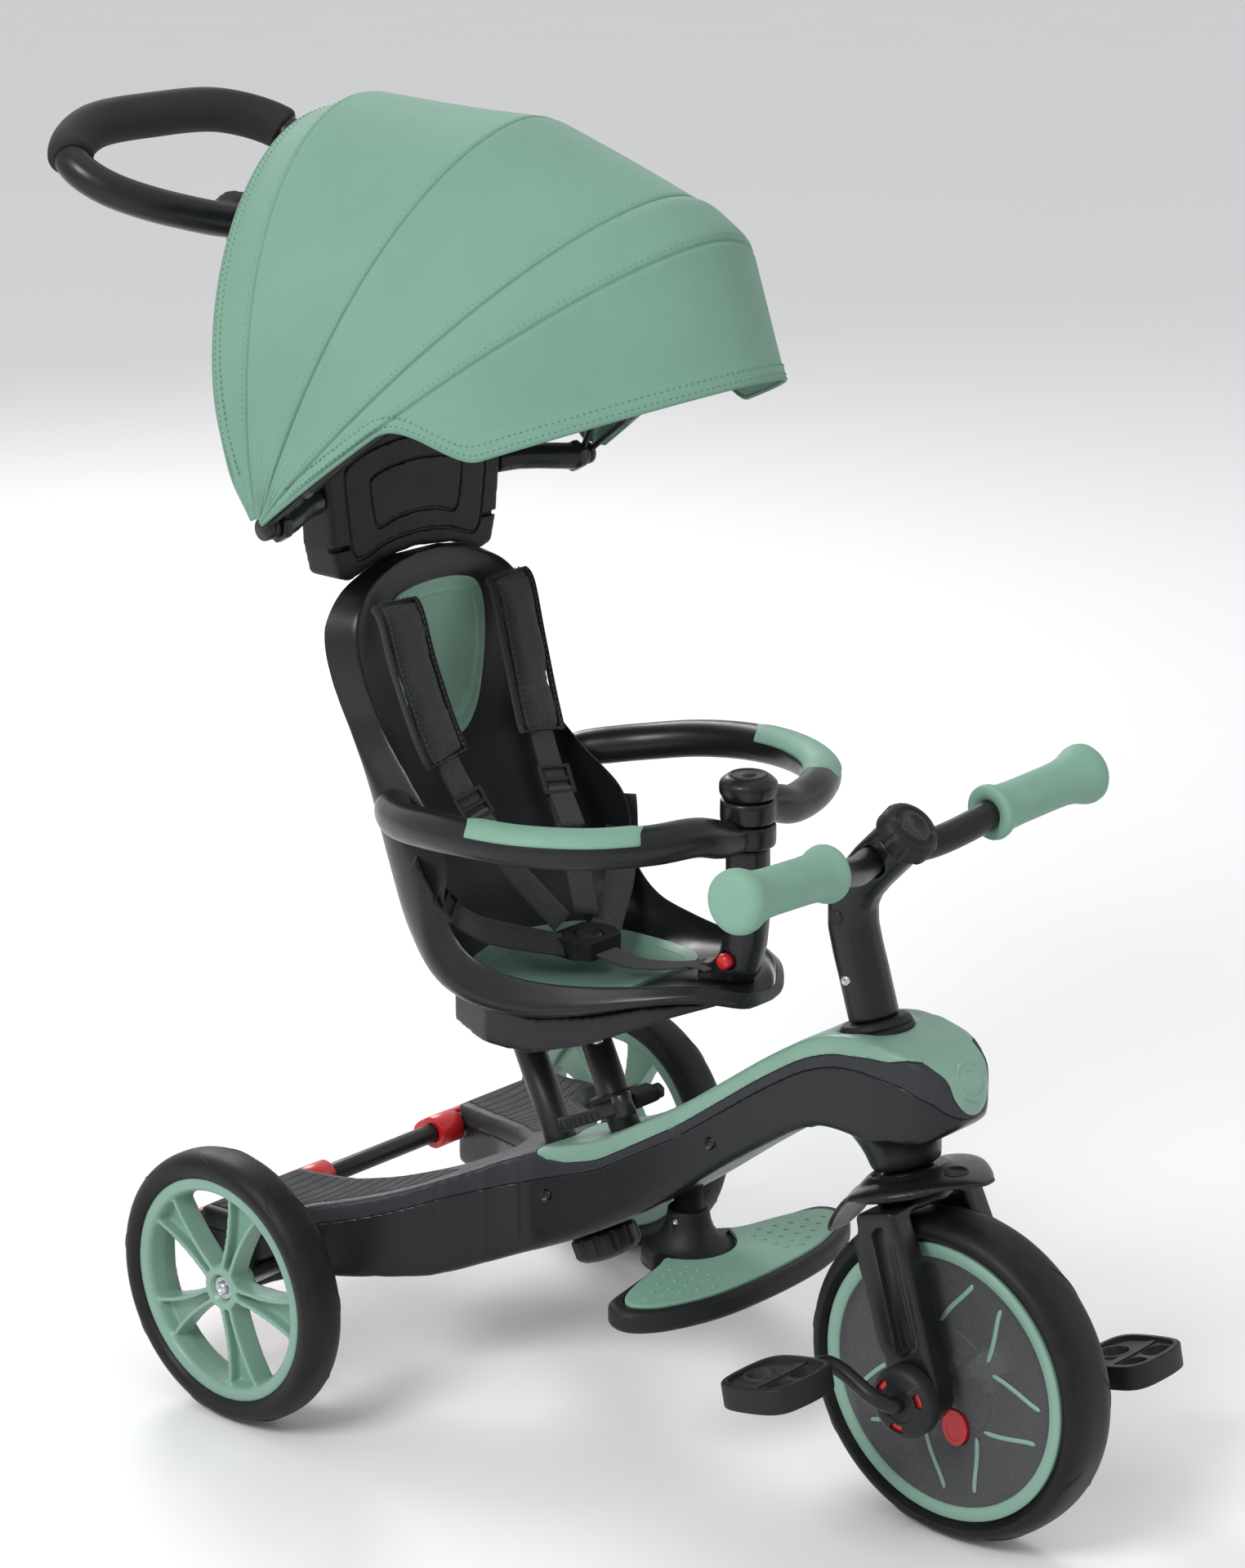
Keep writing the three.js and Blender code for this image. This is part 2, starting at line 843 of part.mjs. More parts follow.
function stem() {
  const points = [
    onSteering(111 + GAP),
    onSteering(150),
    onSteering(180),
    v3(0, 106, 466),
    v3(0, 98, 484),
    onBranch(2),
    onBranch(24),
  ];
  const body = tube(points, 19, 14, 9);
  const steererBore = bar(onSteering(100), onSteering(152), STEERER_RADIUS + GAP, 14);
  const barBore = tube(barPath(), BAR_RADIUS + 2 * GAP, 12, 18);
  const end = bar(onBranch(22), onBranch(60), 30, 14);
  const knobBore = bar(onBranch(BAR_RADIUS), onBranch(40), 7 + FIT);
  piece("stem", largest(cut(body, steererBore, barBore, end, knobBore)), BLACK);
}

// The handlebar sweeps forward from the clamp and lifts a little towards the grips.
function barPath() {
  const half = [
    v3(14, 80, 504),
    v3(45, 68, 507),
    v3(78, 58, 515),
    v3(112, 54, 523),
    v3(197, 48, 528),
  ];
  const other = half.map((p) => v3(-p.x, p.y, p.z)).reverse();
  return [...other, ...half];
}

function handlebar() {
  piece("handlebar", tube(barPath(), BAR_RADIUS, 12, 18), STEEL);
  for (const [side, sign] of Object.entries(SIDES)) {
    const inner = v3(sign * 92, 56, 520);
    const outer = v3(sign * 206, 47.5, 528.4);
    const axis = outer.clone().sub(inner).normalize();
    const length = outer.distanceTo(inner);
    const core = tube(barPath(), BAR_RADIUS + 2 * GAP, 12, 18);
    const profile = [
      [0, 0],
      [20, 0],
      [22, 4],
      [20, 8],
      [16.5, 12],
      [16.5, length - 26],
      [21, length - 16],
      [23, length - 8],
      [20, length - 1],
      [0, length],
    ];
    piece(`grip_${side}`, cut(turned(profile, 14, inner, axis), core), GREEN);
  }
}

function handlebarKnob() {
  const profile = [
    [0, -9],
    [7, -9],
    [7, 1],
    [21, 1],
    [23, 4],
    [23, 14],
    [19, 19],
    [0, 19],
  ];
  piece("handlebar_knob", turned(profile, 16, onBranch(22), branchAxis()), BLACK);
}

// ---------------------------------------------------------------- front wheel and drive
const BUTTON_Y = -13; // centre of the clutch button on the disc, from the axle
const BUTTON_Z = -32;

function buttonOutline(grow) {
  const [wide, tall] = [11 + grow, 14 + grow];
  return Array.from({ length: 12 }, (_, i) => {
    const angle = (2 * Math.PI * i) / 12;
    return [
      BUTTON_Y + wide * Math.cos(angle),
      FRONT_RADIUS + BUTTON_Z + tall * Math.sin(angle),
    ];
  });
}

function frontWheel() {
  const segments = 32;
  const centre = v3(0, 0, FRONT_RADIUS);
  piece(
    "front_tyre",
    tyre(FRONT_BEAD, FRONT_RADIUS, FRONT_HALF_WIDTH, segments, centre),
    RUBBER,
  );
  const edge = FRONT_BEAD - GAP;
  const disc = turned(
    [
      [8 + GAP, -20],
      [28, -18],
      [92, -14],
      [97, -19],
      [edge, -19],
      [edge, 19],
      [97, 19],
      [92, 14],
      [28, 18],
      [8 + GAP, 20],
      [8 + GAP, -20],
    ],
    segments,
    centre,
    AXIS_X,
    Math.PI / segments,
  );
  const pocket = slabAcross(buttonOutline(FIT), -30, -4);
  piece("front_wheel_disc", cut(disc, pocket), CHARCOAL);
  piece("clutch_button", slabAcross(buttonOutline(0), -22, -9), RED);
}

function crankPoint(sign, x, reach) {
  return v3(
    sign * x,
    -sign * reach * Math.cos(CRANK_ANGLE),
    FRONT_RADIUS - sign * reach * Math.sin(CRANK_ANGLE),
  );
}

function crankset() {
  const axle = bar(v3(-70, 0, FRONT_RADIUS), v3(70, 0, FRONT_RADIUS), 8);
  const arms = Object.values(SIDES).flatMap((sign) => [
    tube(
      [
        crankPoint(sign, 62, 0),
        crankPoint(sign, 76, 2),
        crankPoint(sign, 84, 14),
        crankPoint(sign, 88, CRANK_LENGTH - 12),
        crankPoint(sign, 94, CRANK_LENGTH - 2),
        crankPoint(sign, 108, CRANK_LENGTH),
      ],
      6,
      8,
      9,
    ),
    bar(crankPoint(sign, 104, CRANK_LENGTH), crankPoint(sign, 174, CRANK_LENGTH), 5, 10),
  ]);
  const covers = Object.values(SIDES).map((sign) =>
    turned(
      [
        [0, 0],
        [25, 0],
        [27, 4],
        [27, 12],
        [23, 16],
        [0, 16],
      ],
      16,
      v3(sign * (LEG_OUTER + 1), 0, FRONT_RADIUS),
      v3(sign, 0, 0),
    ),
  );
  piece("crankset", join(axle, ...arms, ...covers), STEEL);
}

function pedals() {
  const tilt = -12;
  for (const [side, sign] of Object.entries(SIDES)) {
    const outline = [
      [-29, -36],
      [29, -36],
      [34, -30],
      [34, 30],
      [29, 36],
      [-29, 36],
      [-34, 30],
      [-34, -30],
    ];
    const frameBody = slabUp(
      outline.map(([x, y]) => [x, y * 0.86]),
      -9,
      9,
    );
    const windows = [-1, 1].map((end) => block(50, 12, 30, v3(0, end * 18, 0)));
    const spindle = bar(v3(-50, 0, 0), v3(30, 0, 0), 5 + FIT, 10);
    const body = cut(frameBody, ...windows, spindle).rotate([tilt, 0, 0]);
    const facing = sign < 0 ? body.rotate([0, 0, 180]).rotate([2 * tilt, 0, 0]) : body;
    const centre = crankPoint(sign, PEDAL_X, CRANK_LENGTH);
    piece(`pedal_${side}`, moved(facing, centre.x, centre.y, centre.z), BLACK);
  }
}

// ---------------------------------------------------------------- seat
// Middle line of the seat's inner surface, from the front lip to the top of the backrest:
// y, z, half width, how far the sides rise, and the lean of that rise from upright in degrees.
const SEAT_STATIONS = [
  [193, 376, 18, 2, 10],
  [216, 379, 42, 6, 8],
  [252, 373, 66, 10, 4],
  [298, 358, 86, 20, 0],
  [345, 347, 99, 30, 0],
  [392, 345, 104, 40, 6],
  [432, 352, 105, 62, 18],
  [468, 382, 103, 82, 42],
  [494, 432, 98, 80, 62],
  [512, 488, 90, 52, 76],
  [520, 536, 84, 22, 83],
  [523, 580, 86, 12, 85],
  [526, 612, 84, 9, 85],
  [529, 636, 66, 6, 85],
  [532, 650, 38, 3, 85],
];

// Share of the rim's full wrap along the seat, from the front lip to the top of the backrest.
const WRAP_SHARE = [
  [200, 0],
  [345, 0.7],
  [430, 1],
  [526, 1],
  [532, 0.5],
];

// A grid of points on the seat's surface, pushed outwards by a distance.
function seatGrid(outward, columns = 10) {
  return SEAT_STATIONS.map(([y, z, half, rise, degrees]) => {
    const lean = THREE.MathUtils.degToRad(degrees);
    const normal = v3(0, -Math.sin(lean), Math.cos(lean));
    const wrap = SHELL_WRAP * Math.max(outward / SHELL_WALL, 0) * along(WRAP_SHARE, y);
    return Array.from({ length: columns + 1 }, (_, j) => {
      const u = (2 * j) / columns - 1;
      const lift = rise * Math.abs(u) ** 3.2;
      const widen = Math.sin((u * Math.PI) / 2) * (half + outward);
      const point = v3(widen, y, z).addScaledVector(normal, lift);
      const sink = outward * (1 - 0.5 * Math.abs(u) ** 4) + wrap * Math.abs(u) ** 4;
      return point.addScaledVector(normal, -sink);
    });
  });
}

// The same wall pulled in or out, to make room round the shell.
function seatWall(inner, outer) {
  return wall(seatGrid(inner), seatGrid(outer));
}

function seatShell() {
  piece("seat_shell", seatWall(0, SHELL_WALL), BLACK);
}

function seatInserts() {
  const skin = seatWall(-3, -GAP);
  const seatOutline = mirroredOutline([
    [0, 262],
    [30, 268],
    [62, 290],
    [84, 325],
    [90, 365],
    [84, 402],
    [62, 424],
    [0, 430],
  ]);
  piece("seat_insert", skin.intersect(slabUp(seatOutline, 300, 480)), GREEN);
  const backOutline = mirroredOutline([
    [0, 512],
    [18, 518],
    [30, 540],
    [42, 585],
    [46, 618],
    [34, 626],
    [0, 628],
  ]);
  const backPrism = slabBack(backOutline, 440, 560);
  piece("backrest_insert", skin.intersect(backPrism), GREEN);
}

function seatBase() {
  const outline = mirroredOutline([
    [0, 198],
    [28, 212],
    [54, 240],
    [76, 285],
    [88, 340],
    [88, 392],
    [76, 436],
    [40, 458],
    [0, 462],
  ]);
  const belly = slabAcross(
    [
      [198, 370],
      [240, 354],
      [300, 325],
      [350, 309],
      [400, 306],
      [440, 312],
      [462, 330],
      [462, 420],
      [198, 400],
    ],
    -110,
    110,
  );
  const tub = slabUp(outline, 280, 420).intersect(belly);
  const underside = seatGrid(SHELL_WALL + GAP);
  const raised = underside.map((row) => row.map((point) => point.clone().add(v3(0, -200, 200))));
  const above = wall(raised, underside);
  const posts = [FRONT_POST_Y, REAR_POST_Y].map((y) =>
    bar(postAt(y, 20), postAt(y, 110), POST_RADIUS + GAP, 20),
  );
  piece("seat_base_cover", largest(cut(tub, above, ...posts)), CHARCOAL);
}

const FRONT_POST_TOP = 96;
const REAR_POST_TOP = 108;

function seatPosts() {
  const tops = { front: [FRONT_POST_Y, FRONT_POST_TOP], rear: [REAR_POST_Y, REAR_POST_TOP] };
  for (const [end, [y, top]] of Object.entries(tops)) {
    piece(`seat_post_${end}`, bar(postAt(y, -38), postAt(y, top), POST_RADIUS, 20), BLACK);
  }
}

const CAM_X = 22; // distance of the clamp lever's pivot from the middle

function seatClamp() {
  const collar = turned(
    [
      [POST_RADIUS + FIT, 1],
      [20, 1],
      [20, 17],
      [POST_RADIUS + FIT, 17],
      [POST_RADIUS + FIT, 1],
    ],
    24,
    postAt(FRONT_POST_Y, 12),
    postAxis(),
  );
  const mid = postAt(FRONT_POST_Y, 21);
  const ears = block(26, 14, 12, v3(mid.x, mid.y - 25, mid.z + 11));
  const boltY = mid.y - 27;
  const boltZ = mid.z + 11;
  const bolt = bar(v3(-14, boltY, boltZ), v3(19, boltY, boltZ), 3, 12);
  const nut = bar(v3(12, boltY, boltZ), v3(19, boltY, boltZ), 7, 6);
  piece("seat_clamp_collar", join(collar, ears, bolt, nut), BLACK);
  // The lever's cam turns beside the near ear, about a line parallel to the post.
  const pivot = v3(-CAM_X, boltY, boltZ);
  const cam = bar(
    pivot.clone().addScaledVector(postAxis(), -9),
    pivot.clone().addScaledVector(postAxis(), 9),
    CAM_X - 14,
    14,
  );
  const leverArm = tube(
    [
      pivot,
      v3(-28, boltY + 18, boltZ - 10),
      v3(-31, boltY + 42, boltZ - 22),
      v3(-29, boltY + 58, boltZ - 30),
    ],
    5,
    10,
    7,
  );
  piece("seat_clamp_lever", join(cam, leverArm), BLACK);
}

// ---------------------------------------------------------------- safety ring
function ringPost() {
  const post = tube(
    [
      v3(0, 240, 372),
      v3(0, 224, 378),
      v3(0, 212, 394),
      v3(0, RING_POST_Y, 425),
      v3(0, RING_POST_Y, RING_Z - 18),
    ],
    17,
    12,
    7,
  );
  const pin = bar(v3(0, RING_POST_Y, RING_Z - 24), v3(0, RING_POST_Y, RING_Z + 24), 9);
  const cap = turned(
    [
      [0, 0],
      [20, 0],
      [22, 4],
      [22, 12],
      [16, 17],
      [0, 17],
    ],
    16,
    v3(0, RING_POST_Y, RING_Z + 20),
    AXIS_Z,
  );
  const room = seatWall(-GAP, SHELL_WALL + 3);
  const pocket = bar(v3(-9, RING_BUTTON_Y, RING_BUTTON_Z), v3(-30, RING_BUTTON_Y, RING_BUTTON_Z), 6 + FIT);
  piece("ring_post", largest(cut(join(post, pin, cap), room, pocket)), BLACK);
}

// Each half of the ring turns on the post: the right one holds the lower knuckle.
function ringArms() {
  const knuckles = { right: [-17, 0.5], left: [1.5, 19] };
  const level = (from) => v3(0, RING_POST_Y, RING_Z + from);
  for (const [side, sign] of Object.entries(SIDES)) {
    const [low, high] = knuckles[side];
    const points = [
      v3(sign * 14, 207, RING_Z + (low + high) / 2),
      v3(sign * 56, 209, RING_Z + 1),
      v3(sign * 94, 219, RING_Z + 2),
      v3(sign * 132, 245, RING_Z + 2),
      v3(sign * 157, 290, RING_Z + 1),
      v3(sign * 163, 340, RING_Z - 1),
      v3(sign * 156, 388, RING_Z - 6),
      v3(sign * 138, 430, RING_Z - 13),
      v3(sign * 113, 462, RING_Z - 18),
    ];
    const arm = tube(points, RING_TUBE, 10, 13);
    const knuckle = bar(level(low), level(high), 21, 16);
    const [otherLow, otherHigh] = knuckles[side === "right" ? "left" : "right"];
    const rooms = [
      bar(level(-70), level(50), 9 + FIT),
      bar(level(otherLow - 0.5), level(otherHigh + 0.5), 23, 16),
      bar(level(19.5), level(50), 24, 16),
      bar(level(-70), level(-17.4), 23, 16),
      seatWall(-3, SHELL_WALL + 6),
    ];
    const half = block(400, 600, 200, v3(sign * 200.8, 350, RING_Z));
    const reach = join(arm.intersect(half), knuckle);
    piece(`ring_arm_${side}`, largest(cut(reach, ...rooms)), BLACK);
  }
}

function ringButton() {
  const profile = [
    [0, 0],
    [6, 0],
    [6, 8],
    [4.5, 10],
    [0, 10],
  ];
  const button = turned(profile, 12, v3(-12.5, RING_BUTTON_Y, RING_BUTTON_Z), v3(-1, 0, 0));
  piece("ring_release_button", button, RED);
}

// ---------------------------------------------------------------- harness
const BUCKLE = v3(0, 366, 372);

function harness() {
  for (const [side, sign] of Object.entries(SIDES)) {
    const shoulder = strap(
      [
        [sign * 62, 508, 622],
        [sign * 60, 492, 575],
        [sign * 52, 468, 510],
        [sign * 38, 425, 440],
        [sign * 12, 381, 384],
      ],
      25,
      3,
    );
    const pad = strap(
      [
        [sign * 62, 507, 618],
        [sign * 60, 491, 572],
        [sign * 54, 466, 505],
      ],
      46,
      9,
    );
    const room = seatWall(-0.8, SHELL_WALL + 2);
    const buckleRoom = block(54, 46, 30, BUCKLE);
    piece(`shoulder_strap_${side}`, cut(join(shoulder, pad), room, buckleRoom), WEBBING);
    const waist = strap(
      [
        [sign * 118, 436, 446, sign * 1.2],
        [sign * 104, 424, 418, sign * 0.9],
        [sign * 66, 396, 388, sign * 0.4],
        [sign * 24, 369, 374, sign * 0.1],
      ],
      3,
      25,
    );
    piece(`waist_strap_${side}`, waistBody(waist, sign, room, buckleRoom), WEBBING);
  }
  const crotch = strap(
    [
      [0, 348, 370],
      [0, 310, 366],
      [0, 268, 379],
    ],
    25,
    3,
  );
  const room = seatWall(-3.2, SHELL_WALL + 2);
  piece("crotch_strap", cut(crotch, room, block(54, 46, 30, BUCKLE)), WEBBING);
}

function waistBody(band, sign, room, buckleRoom) {
  const half = block(200, 400, 300, v3(sign * 101, 400, 420));
  const shoulderRoom = block(40, 60, 60, v3(sign * 20, 400, 404));
  return largest(cut(band.intersect(half), room, buckleRoom, shoulderRoom));
}

// The biggest body of a solid that a cut has left in several.
function largest(body) {
  const bodies = body.decompose();
  return bodies.reduce((best, one) => (one.volume() > best.volume() ? one : best));
}

function buckle() {
  const shell = block(50, 42, 16, BUCKLE);
  const well = bar(v3(0, BUCKLE.y, BUCKLE.z + 1), v3(0, BUCKLE.y, BUCKLE.z + 20), 11 + FIT, 16);
  piece("buckle", cut(shell, well), BLACK);
  const button = turned(
    [
      [0, 0],
      [11, 0],
      [11, 6],
      [9, 8],
      [0, 8],
    ],
    16,
    v3(0, BUCKLE.y, BUCKLE.z + 4),
    AXIS_Z,
  );
  piece("buckle_button", button, BLACK);
}

// ---------------------------------------------------------------- headrest and handle
function handleAxis() {
  return v3(0, Math.sin(HANDLE_LEAN), Math.cos(HANDLE_LEAN));
}

// A point on the straight part of the handle tube, by its height.
function onHandle(z) {
  return v3(0, HEADREST_Y + 57 + (z - 700) * Math.tan(HANDLE_LEAN), z);
}

function headrest() {
  const outline = mirroredOutline([
    [0, 656],
    [40, 652],
    [72, 641],
    [84, 645],
    [90, 668],
    [96, 722],
    [92, 740],
    [58, 754],
    [0, 760],
  ]);
  const plate = slabBack(outline, HEADREST_Y, HEADREST_Y + 34);
  const sleeve = bar(onHandle(672), onHandle(742), 22, 16);
  const bridge = block(40, 30, 60, v3(0, HEADREST_Y + 40, 708));
  const bore = bar(onHandle(600), onHandle(820), 16 + GAP, 16);
  piece("headrest", cut(join(plate, sleeve, bridge), bore), BLACK);
}

function canopyArms() {
  for (const [side, sign] of Object.entries(SIDES)) {
    const rod = tube(
      [
        v3(sign * 88, 560, 706),
        v3(sign * 118, 548, 708),
        v3(sign * 144, 534, 706),
        v3(sign * (CANOPY_HUB_X + 2), CANOPY_HINGE_Y, CANOPY_HINGE_Z),
      ],
      11,
      10,
      5,
    );
    const hub = turned(
      [
        [0, 0],
        [13, 0],
        [13, 8],
        [0, 8],
      ],
      6,
      v3(sign * CANOPY_HUB_X, CANOPY_HINGE_Y, CANOPY_HINGE_Z),
      v3(sign, 0, 0),
    );
    const room = block(2 * (96 + GAP), 200, 300, v3(0, 560, 700));
    piece(`canopy_arm_${side}`, cut(join(rod, hub), room), BLACK);
  }
}

// Distance of the canopy from the line through its hinges, by angle up from straight ahead,
// at the middle of the canopy.
const CANOPY_REACH = [
  [20, 345],
  [38, 363],
  [55, 330],
  [72, 317],
  [90, 316],
  [112, 306],
];

// A row of canopy points at an angle, from the right hinge over the top to the left hinge.
function canopyRow(degrees, offset, columns = 12, edge = 0.94) {
  const angle = THREE.MathUtils.degToRad(degrees);
  const reach = along(CANOPY_REACH, degrees) + offset;
  return Array.from({ length: columns + 1 }, (_, j) => {
    const turn = edge * Math.PI * (j / columns - 0.5);
    const out = reach * Math.cos(turn);
    return v3(
      (CANOPY_HALF_WIDTH + offset) * Math.sign(turn) * Math.abs(Math.sin(turn)) ** 1.1,
      CANOPY_HINGE_Y - out * Math.cos(angle),
      CANOPY_HINGE_Z + out * Math.sin(angle),
    );
  });
}

function canopyShell(angles, offset) {
  const inner = angles.map((degrees) => canopyRow(degrees, offset));
  const outer = angles.map((degrees) => canopyRow(degrees, offset + FABRIC));
  return wall(inner, outer);
}

// A bow under the fabric, with a flat ear at each end that turns on the hinge.
function canopyBow(degrees, offset, radius, earX) {
  const points = canopyRow(degrees, offset, 10, 0.9);
  const ears = Object.values(SIDES).flatMap((sign) => {
    const hinge = v3(sign * earX, CANOPY_HINGE_Y, CANOPY_HINGE_Z);
    const end = sign > 0 ? points[points.length - 1] : points[0];
    const half = v3(2.6, 0, 0);
    const disc = bar(hinge.clone().sub(half), hinge.clone().add(half), 9);
    return [disc, bar(hinge, end, 2.6, 6)];
  });
  return join(tube(points, radius, 6, 14), ...ears);
}

function canopy() {
  piece("canopy_fabric_rear", canopyShell([64, 76, 88, 100, 112], -6), FABRIC_GREEN);
  piece("canopy_fabric_front", canopyShell([20, 29, 38, 48, 58], 0), FABRIC_GREEN);
  piece("canopy_front_bow", canopyBow(38, -9, 5, CANOPY_HUB_X + 19), BLACK);
  piece("canopy_mid_bow", canopyBow(60.5, -21, 4, CANOPY_HUB_X + 13), BLACK);
}

const LOOP_Y = 728; // where the hand loop meets its neck
const LOOP_Z = 891;

function handle() {
  const sleeveLength = 190;
  const tubeWall = turned(
    [
      [HANDLE_TUBE_RADIUS + FIT, 0],
      [16, 0],
      [16, sleeveLength],
      [HANDLE_TUBE_RADIUS + FIT, sleeveLength],
      [HANDLE_TUBE_RADIUS + FIT, 0],
    ],
    16,
    onHandle(515),
    handleAxis(),
  );
  const bore = bar(onHandle(500), onHandle(640), HANDLE_TUBE_RADIUS + FIT, 16);
  const brackets = [535, 605].map((z) => block(26, 40, 22, v3(0, onHandle(z).y - 24, z)));
  const seatRoom = wall(seatGrid(-30), seatGrid(SHELL_WALL + GAP));
  const joined = cut(join(tubeWall, ...brackets), bore, seatRoom);
  piece("handle_sleeve", largest(joined), BLACK);
  const stalk = tube(
    [
      onHandle(560),
      onHandle(700),
      onHandle(742),
      v3(0, 640, 762),
      v3(0, 690, 797),
      v3(0, 718, 838),
      v3(0, 730, 868),
      v3(0, LOOP_Y + 6, LOOP_Z + 4),
    ],
    HANDLE_TUBE_RADIUS,
    10,
    18,
  );
  const loop = tube(loopPath(), 14, 10, 24, true);
  piece("handle_loop", join(stalk, loop), BLACK);
  const sleeve = tube(loopPath().slice(3, 8), 18, 10, 8);
  const core = tube(loopPath(), 14 + 2 * GAP, 10, 24, true);
  piece("handle_grip", cut(sleeve, core), CHARCOAL);
}

// The hand loop: a rounded triangle whose point is at the junction, in a plane that leans back.
function loopPath() {
  const plane = [
    [0, 0],
    [58, 22],
    [104, 58],
    [112, 96],
    [68, 126],
    [0, 131],
    [-68, 126],
    [-112, 96],
    [-104, 58],
    [-58, 22],
  ];
  const lean = THREE.MathUtils.degToRad(34);
  return plane.map(([x, back]) =>
    v3(x, LOOP_Y + back * Math.cos(lean), LOOP_Z + back * Math.sin(lean)),
  );
}

// ---------------------------------------------------------------- assembly
frame();
deckPads();
rearAxles();
headCollar();
lockKnob();
footrest();
brake();
rearWheels();
fork();
fender();
stem();
handlebar();
handlebarKnob();
frontWheel();
crankset();
pedals();
seatShell();
seatInserts();
seatBase();
seatPosts();
seatClamp();
ringPost();
ringArms();
ringButton();
harness();
buckle();
headrest();
canopyArms();
canopy();
handle();

export default root;
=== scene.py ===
"""Looks of the children's push tricycle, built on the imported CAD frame.

Lengths in the helpers and tables below are in millimetres. Y is measured from the front axle,
as in the CAD source; at() turns a point into the row frame in metres.
"""

import math

import bmesh
import bpy
import numpy as np
from mathutils import Matrix, Vector


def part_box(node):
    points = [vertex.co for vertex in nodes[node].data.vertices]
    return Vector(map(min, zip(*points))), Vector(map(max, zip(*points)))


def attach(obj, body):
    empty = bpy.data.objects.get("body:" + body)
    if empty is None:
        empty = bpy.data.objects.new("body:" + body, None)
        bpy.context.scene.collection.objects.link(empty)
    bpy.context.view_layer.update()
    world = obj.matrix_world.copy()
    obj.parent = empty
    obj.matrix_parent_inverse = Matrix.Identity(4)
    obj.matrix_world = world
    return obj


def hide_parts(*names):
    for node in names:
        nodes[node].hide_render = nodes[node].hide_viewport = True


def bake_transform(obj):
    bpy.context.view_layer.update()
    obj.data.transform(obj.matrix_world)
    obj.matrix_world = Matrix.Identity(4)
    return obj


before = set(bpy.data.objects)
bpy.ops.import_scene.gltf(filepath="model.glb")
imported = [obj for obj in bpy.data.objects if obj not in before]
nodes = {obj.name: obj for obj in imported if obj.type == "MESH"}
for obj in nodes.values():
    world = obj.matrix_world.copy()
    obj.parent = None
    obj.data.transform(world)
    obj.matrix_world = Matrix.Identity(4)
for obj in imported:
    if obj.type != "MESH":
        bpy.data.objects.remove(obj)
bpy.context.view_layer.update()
scene = bpy.context.scene

MM = 0.001
SIDES = {"right": -1, "left": 1}

# Dimensions that several pieces share, in mm; points are (y, z) unless a comment says otherwise.
AXLE_HEIGHT = 125
FRONT_TYRE = (125, 24)  # radius and half width
REAR_TYRE = (110, 18.5)
TYRE_CROWN = 11  # how far the tread falls from its middle to its shoulder
CRANK_REACH = 57
PEDAL_X = 146
FRONT_POST_Y, REAR_POST_Y = 327, 396
BRAKE_TUBE = (600, 131)
FOOTREST_POST_Y = 262
RING_POST_Y = 206
RING_LEVEL = 503
HINGE = (528, 704)
CANOPY_HALF_WIDTH = 187
WEB = (25, 1.8)  # width and thickness of the harness webbing
PAD_HALF_WIDTH = 22
PAD_LIFT = 1.5  # the middle of a shoulder pad over the middle of its strap
PAD_SEAMS = (0.16, 0.84)  # cross seams, as shares of the pad's length
LOOP_START = (728, 891)
LOOP_TILT = math.radians(34)


def centre_of(node):
    low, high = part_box(node)
    return (low + high) / 2


AXLE = centre_of("front_tyre")
REAR = centre_of("rear_tyre_left")


def at(x, y, z):
    return Vector((x * MM, AXLE.y + y * MM, z * MM))


# ------------------------------------------------------------------ steering and post lines
RAKE = math.radians(17.5)
POST_TILT = math.radians(26)
HANDLE_LEAN = math.radians(10.6)
STEER = Vector((0, math.sin(RAKE), math.cos(RAKE)))
POST = Vector((0, math.sin(POST_TILT), math.cos(POST_TILT)))


def on_steering(distance):
    return at(0, 51, 274) + STEER * distance * MM


# ------------------------------------------------------------------ material building
def new_material(name):
    material = bpy.data.materials.new(name)
    material.use_nodes = True
    tree = material.node_tree
    return material, tree, tree.nodes["Principled BSDF"]


def node(tree, kind, **settings):
    made = tree.nodes.new(kind)
    for key, value in settings.items():
        if key in made.inputs:
            made.inputs[key].default_value = value
        else:
            setattr(made, key, value)
    return made


def noise(tree, vector, scale, detail=3.0, rough=0.55):
    made = node(tree, "ShaderNodeTexNoise", Scale=scale, Detail=detail, Roughness=rough)
    tree.links.new(vector, made.inputs["Vector"])
    return made.outputs["Fac"]


def ramp(tree, value, low, high, start=0.3, end=0.7):
    """Turns a 0 to 1 texture value into a number between low and high."""
    made = node(tree, "ShaderNodeMapRange")
    made.inputs["From Min"].default_value = start
    made.inputs["From Max"].default_value = end
    made.inputs["To Min"].default_value = low
    made.inputs["To Max"].default_value = high
    tree.links.new(value, made.inputs["Value"])
    return made.outputs["Result"]


def tinted(tree, color, share, factor):
    """color where factor is 0, and share times as bright where it is 1."""
    made = node(tree, "ShaderNodeMix", data_type="RGBA")
    made.inputs[6].default_value = (*color, 1)
    made.inputs[7].default_value = (*[min(c * share, 1) for c in color], 1)
    tree.links.new(factor, made.inputs[0])
    return made.outputs[2]


def mixed(tree, first, second, factor):
    made = node(tree, "ShaderNodeMix", data_type="RGBA")
    for socket, value in ((made.inputs[6], first), (made.inputs[7], second)):
        if isinstance(value, bpy.types.NodeSocket):
            tree.links.new(value, socket)
        else:
            socket.default_value = (*value, 1)
    tree.links.new(factor, made.inputs[0])
    return made.outputs[2]


def bump(tree, shader, height, strength, distance):
    made = node(tree, "ShaderNodeBump", Strength=strength, Distance=distance)
    tree.links.new(height, made.inputs["Height"])
    tree.links.new(made.outputs["Normal"], shader.inputs["Normal"])
    return made


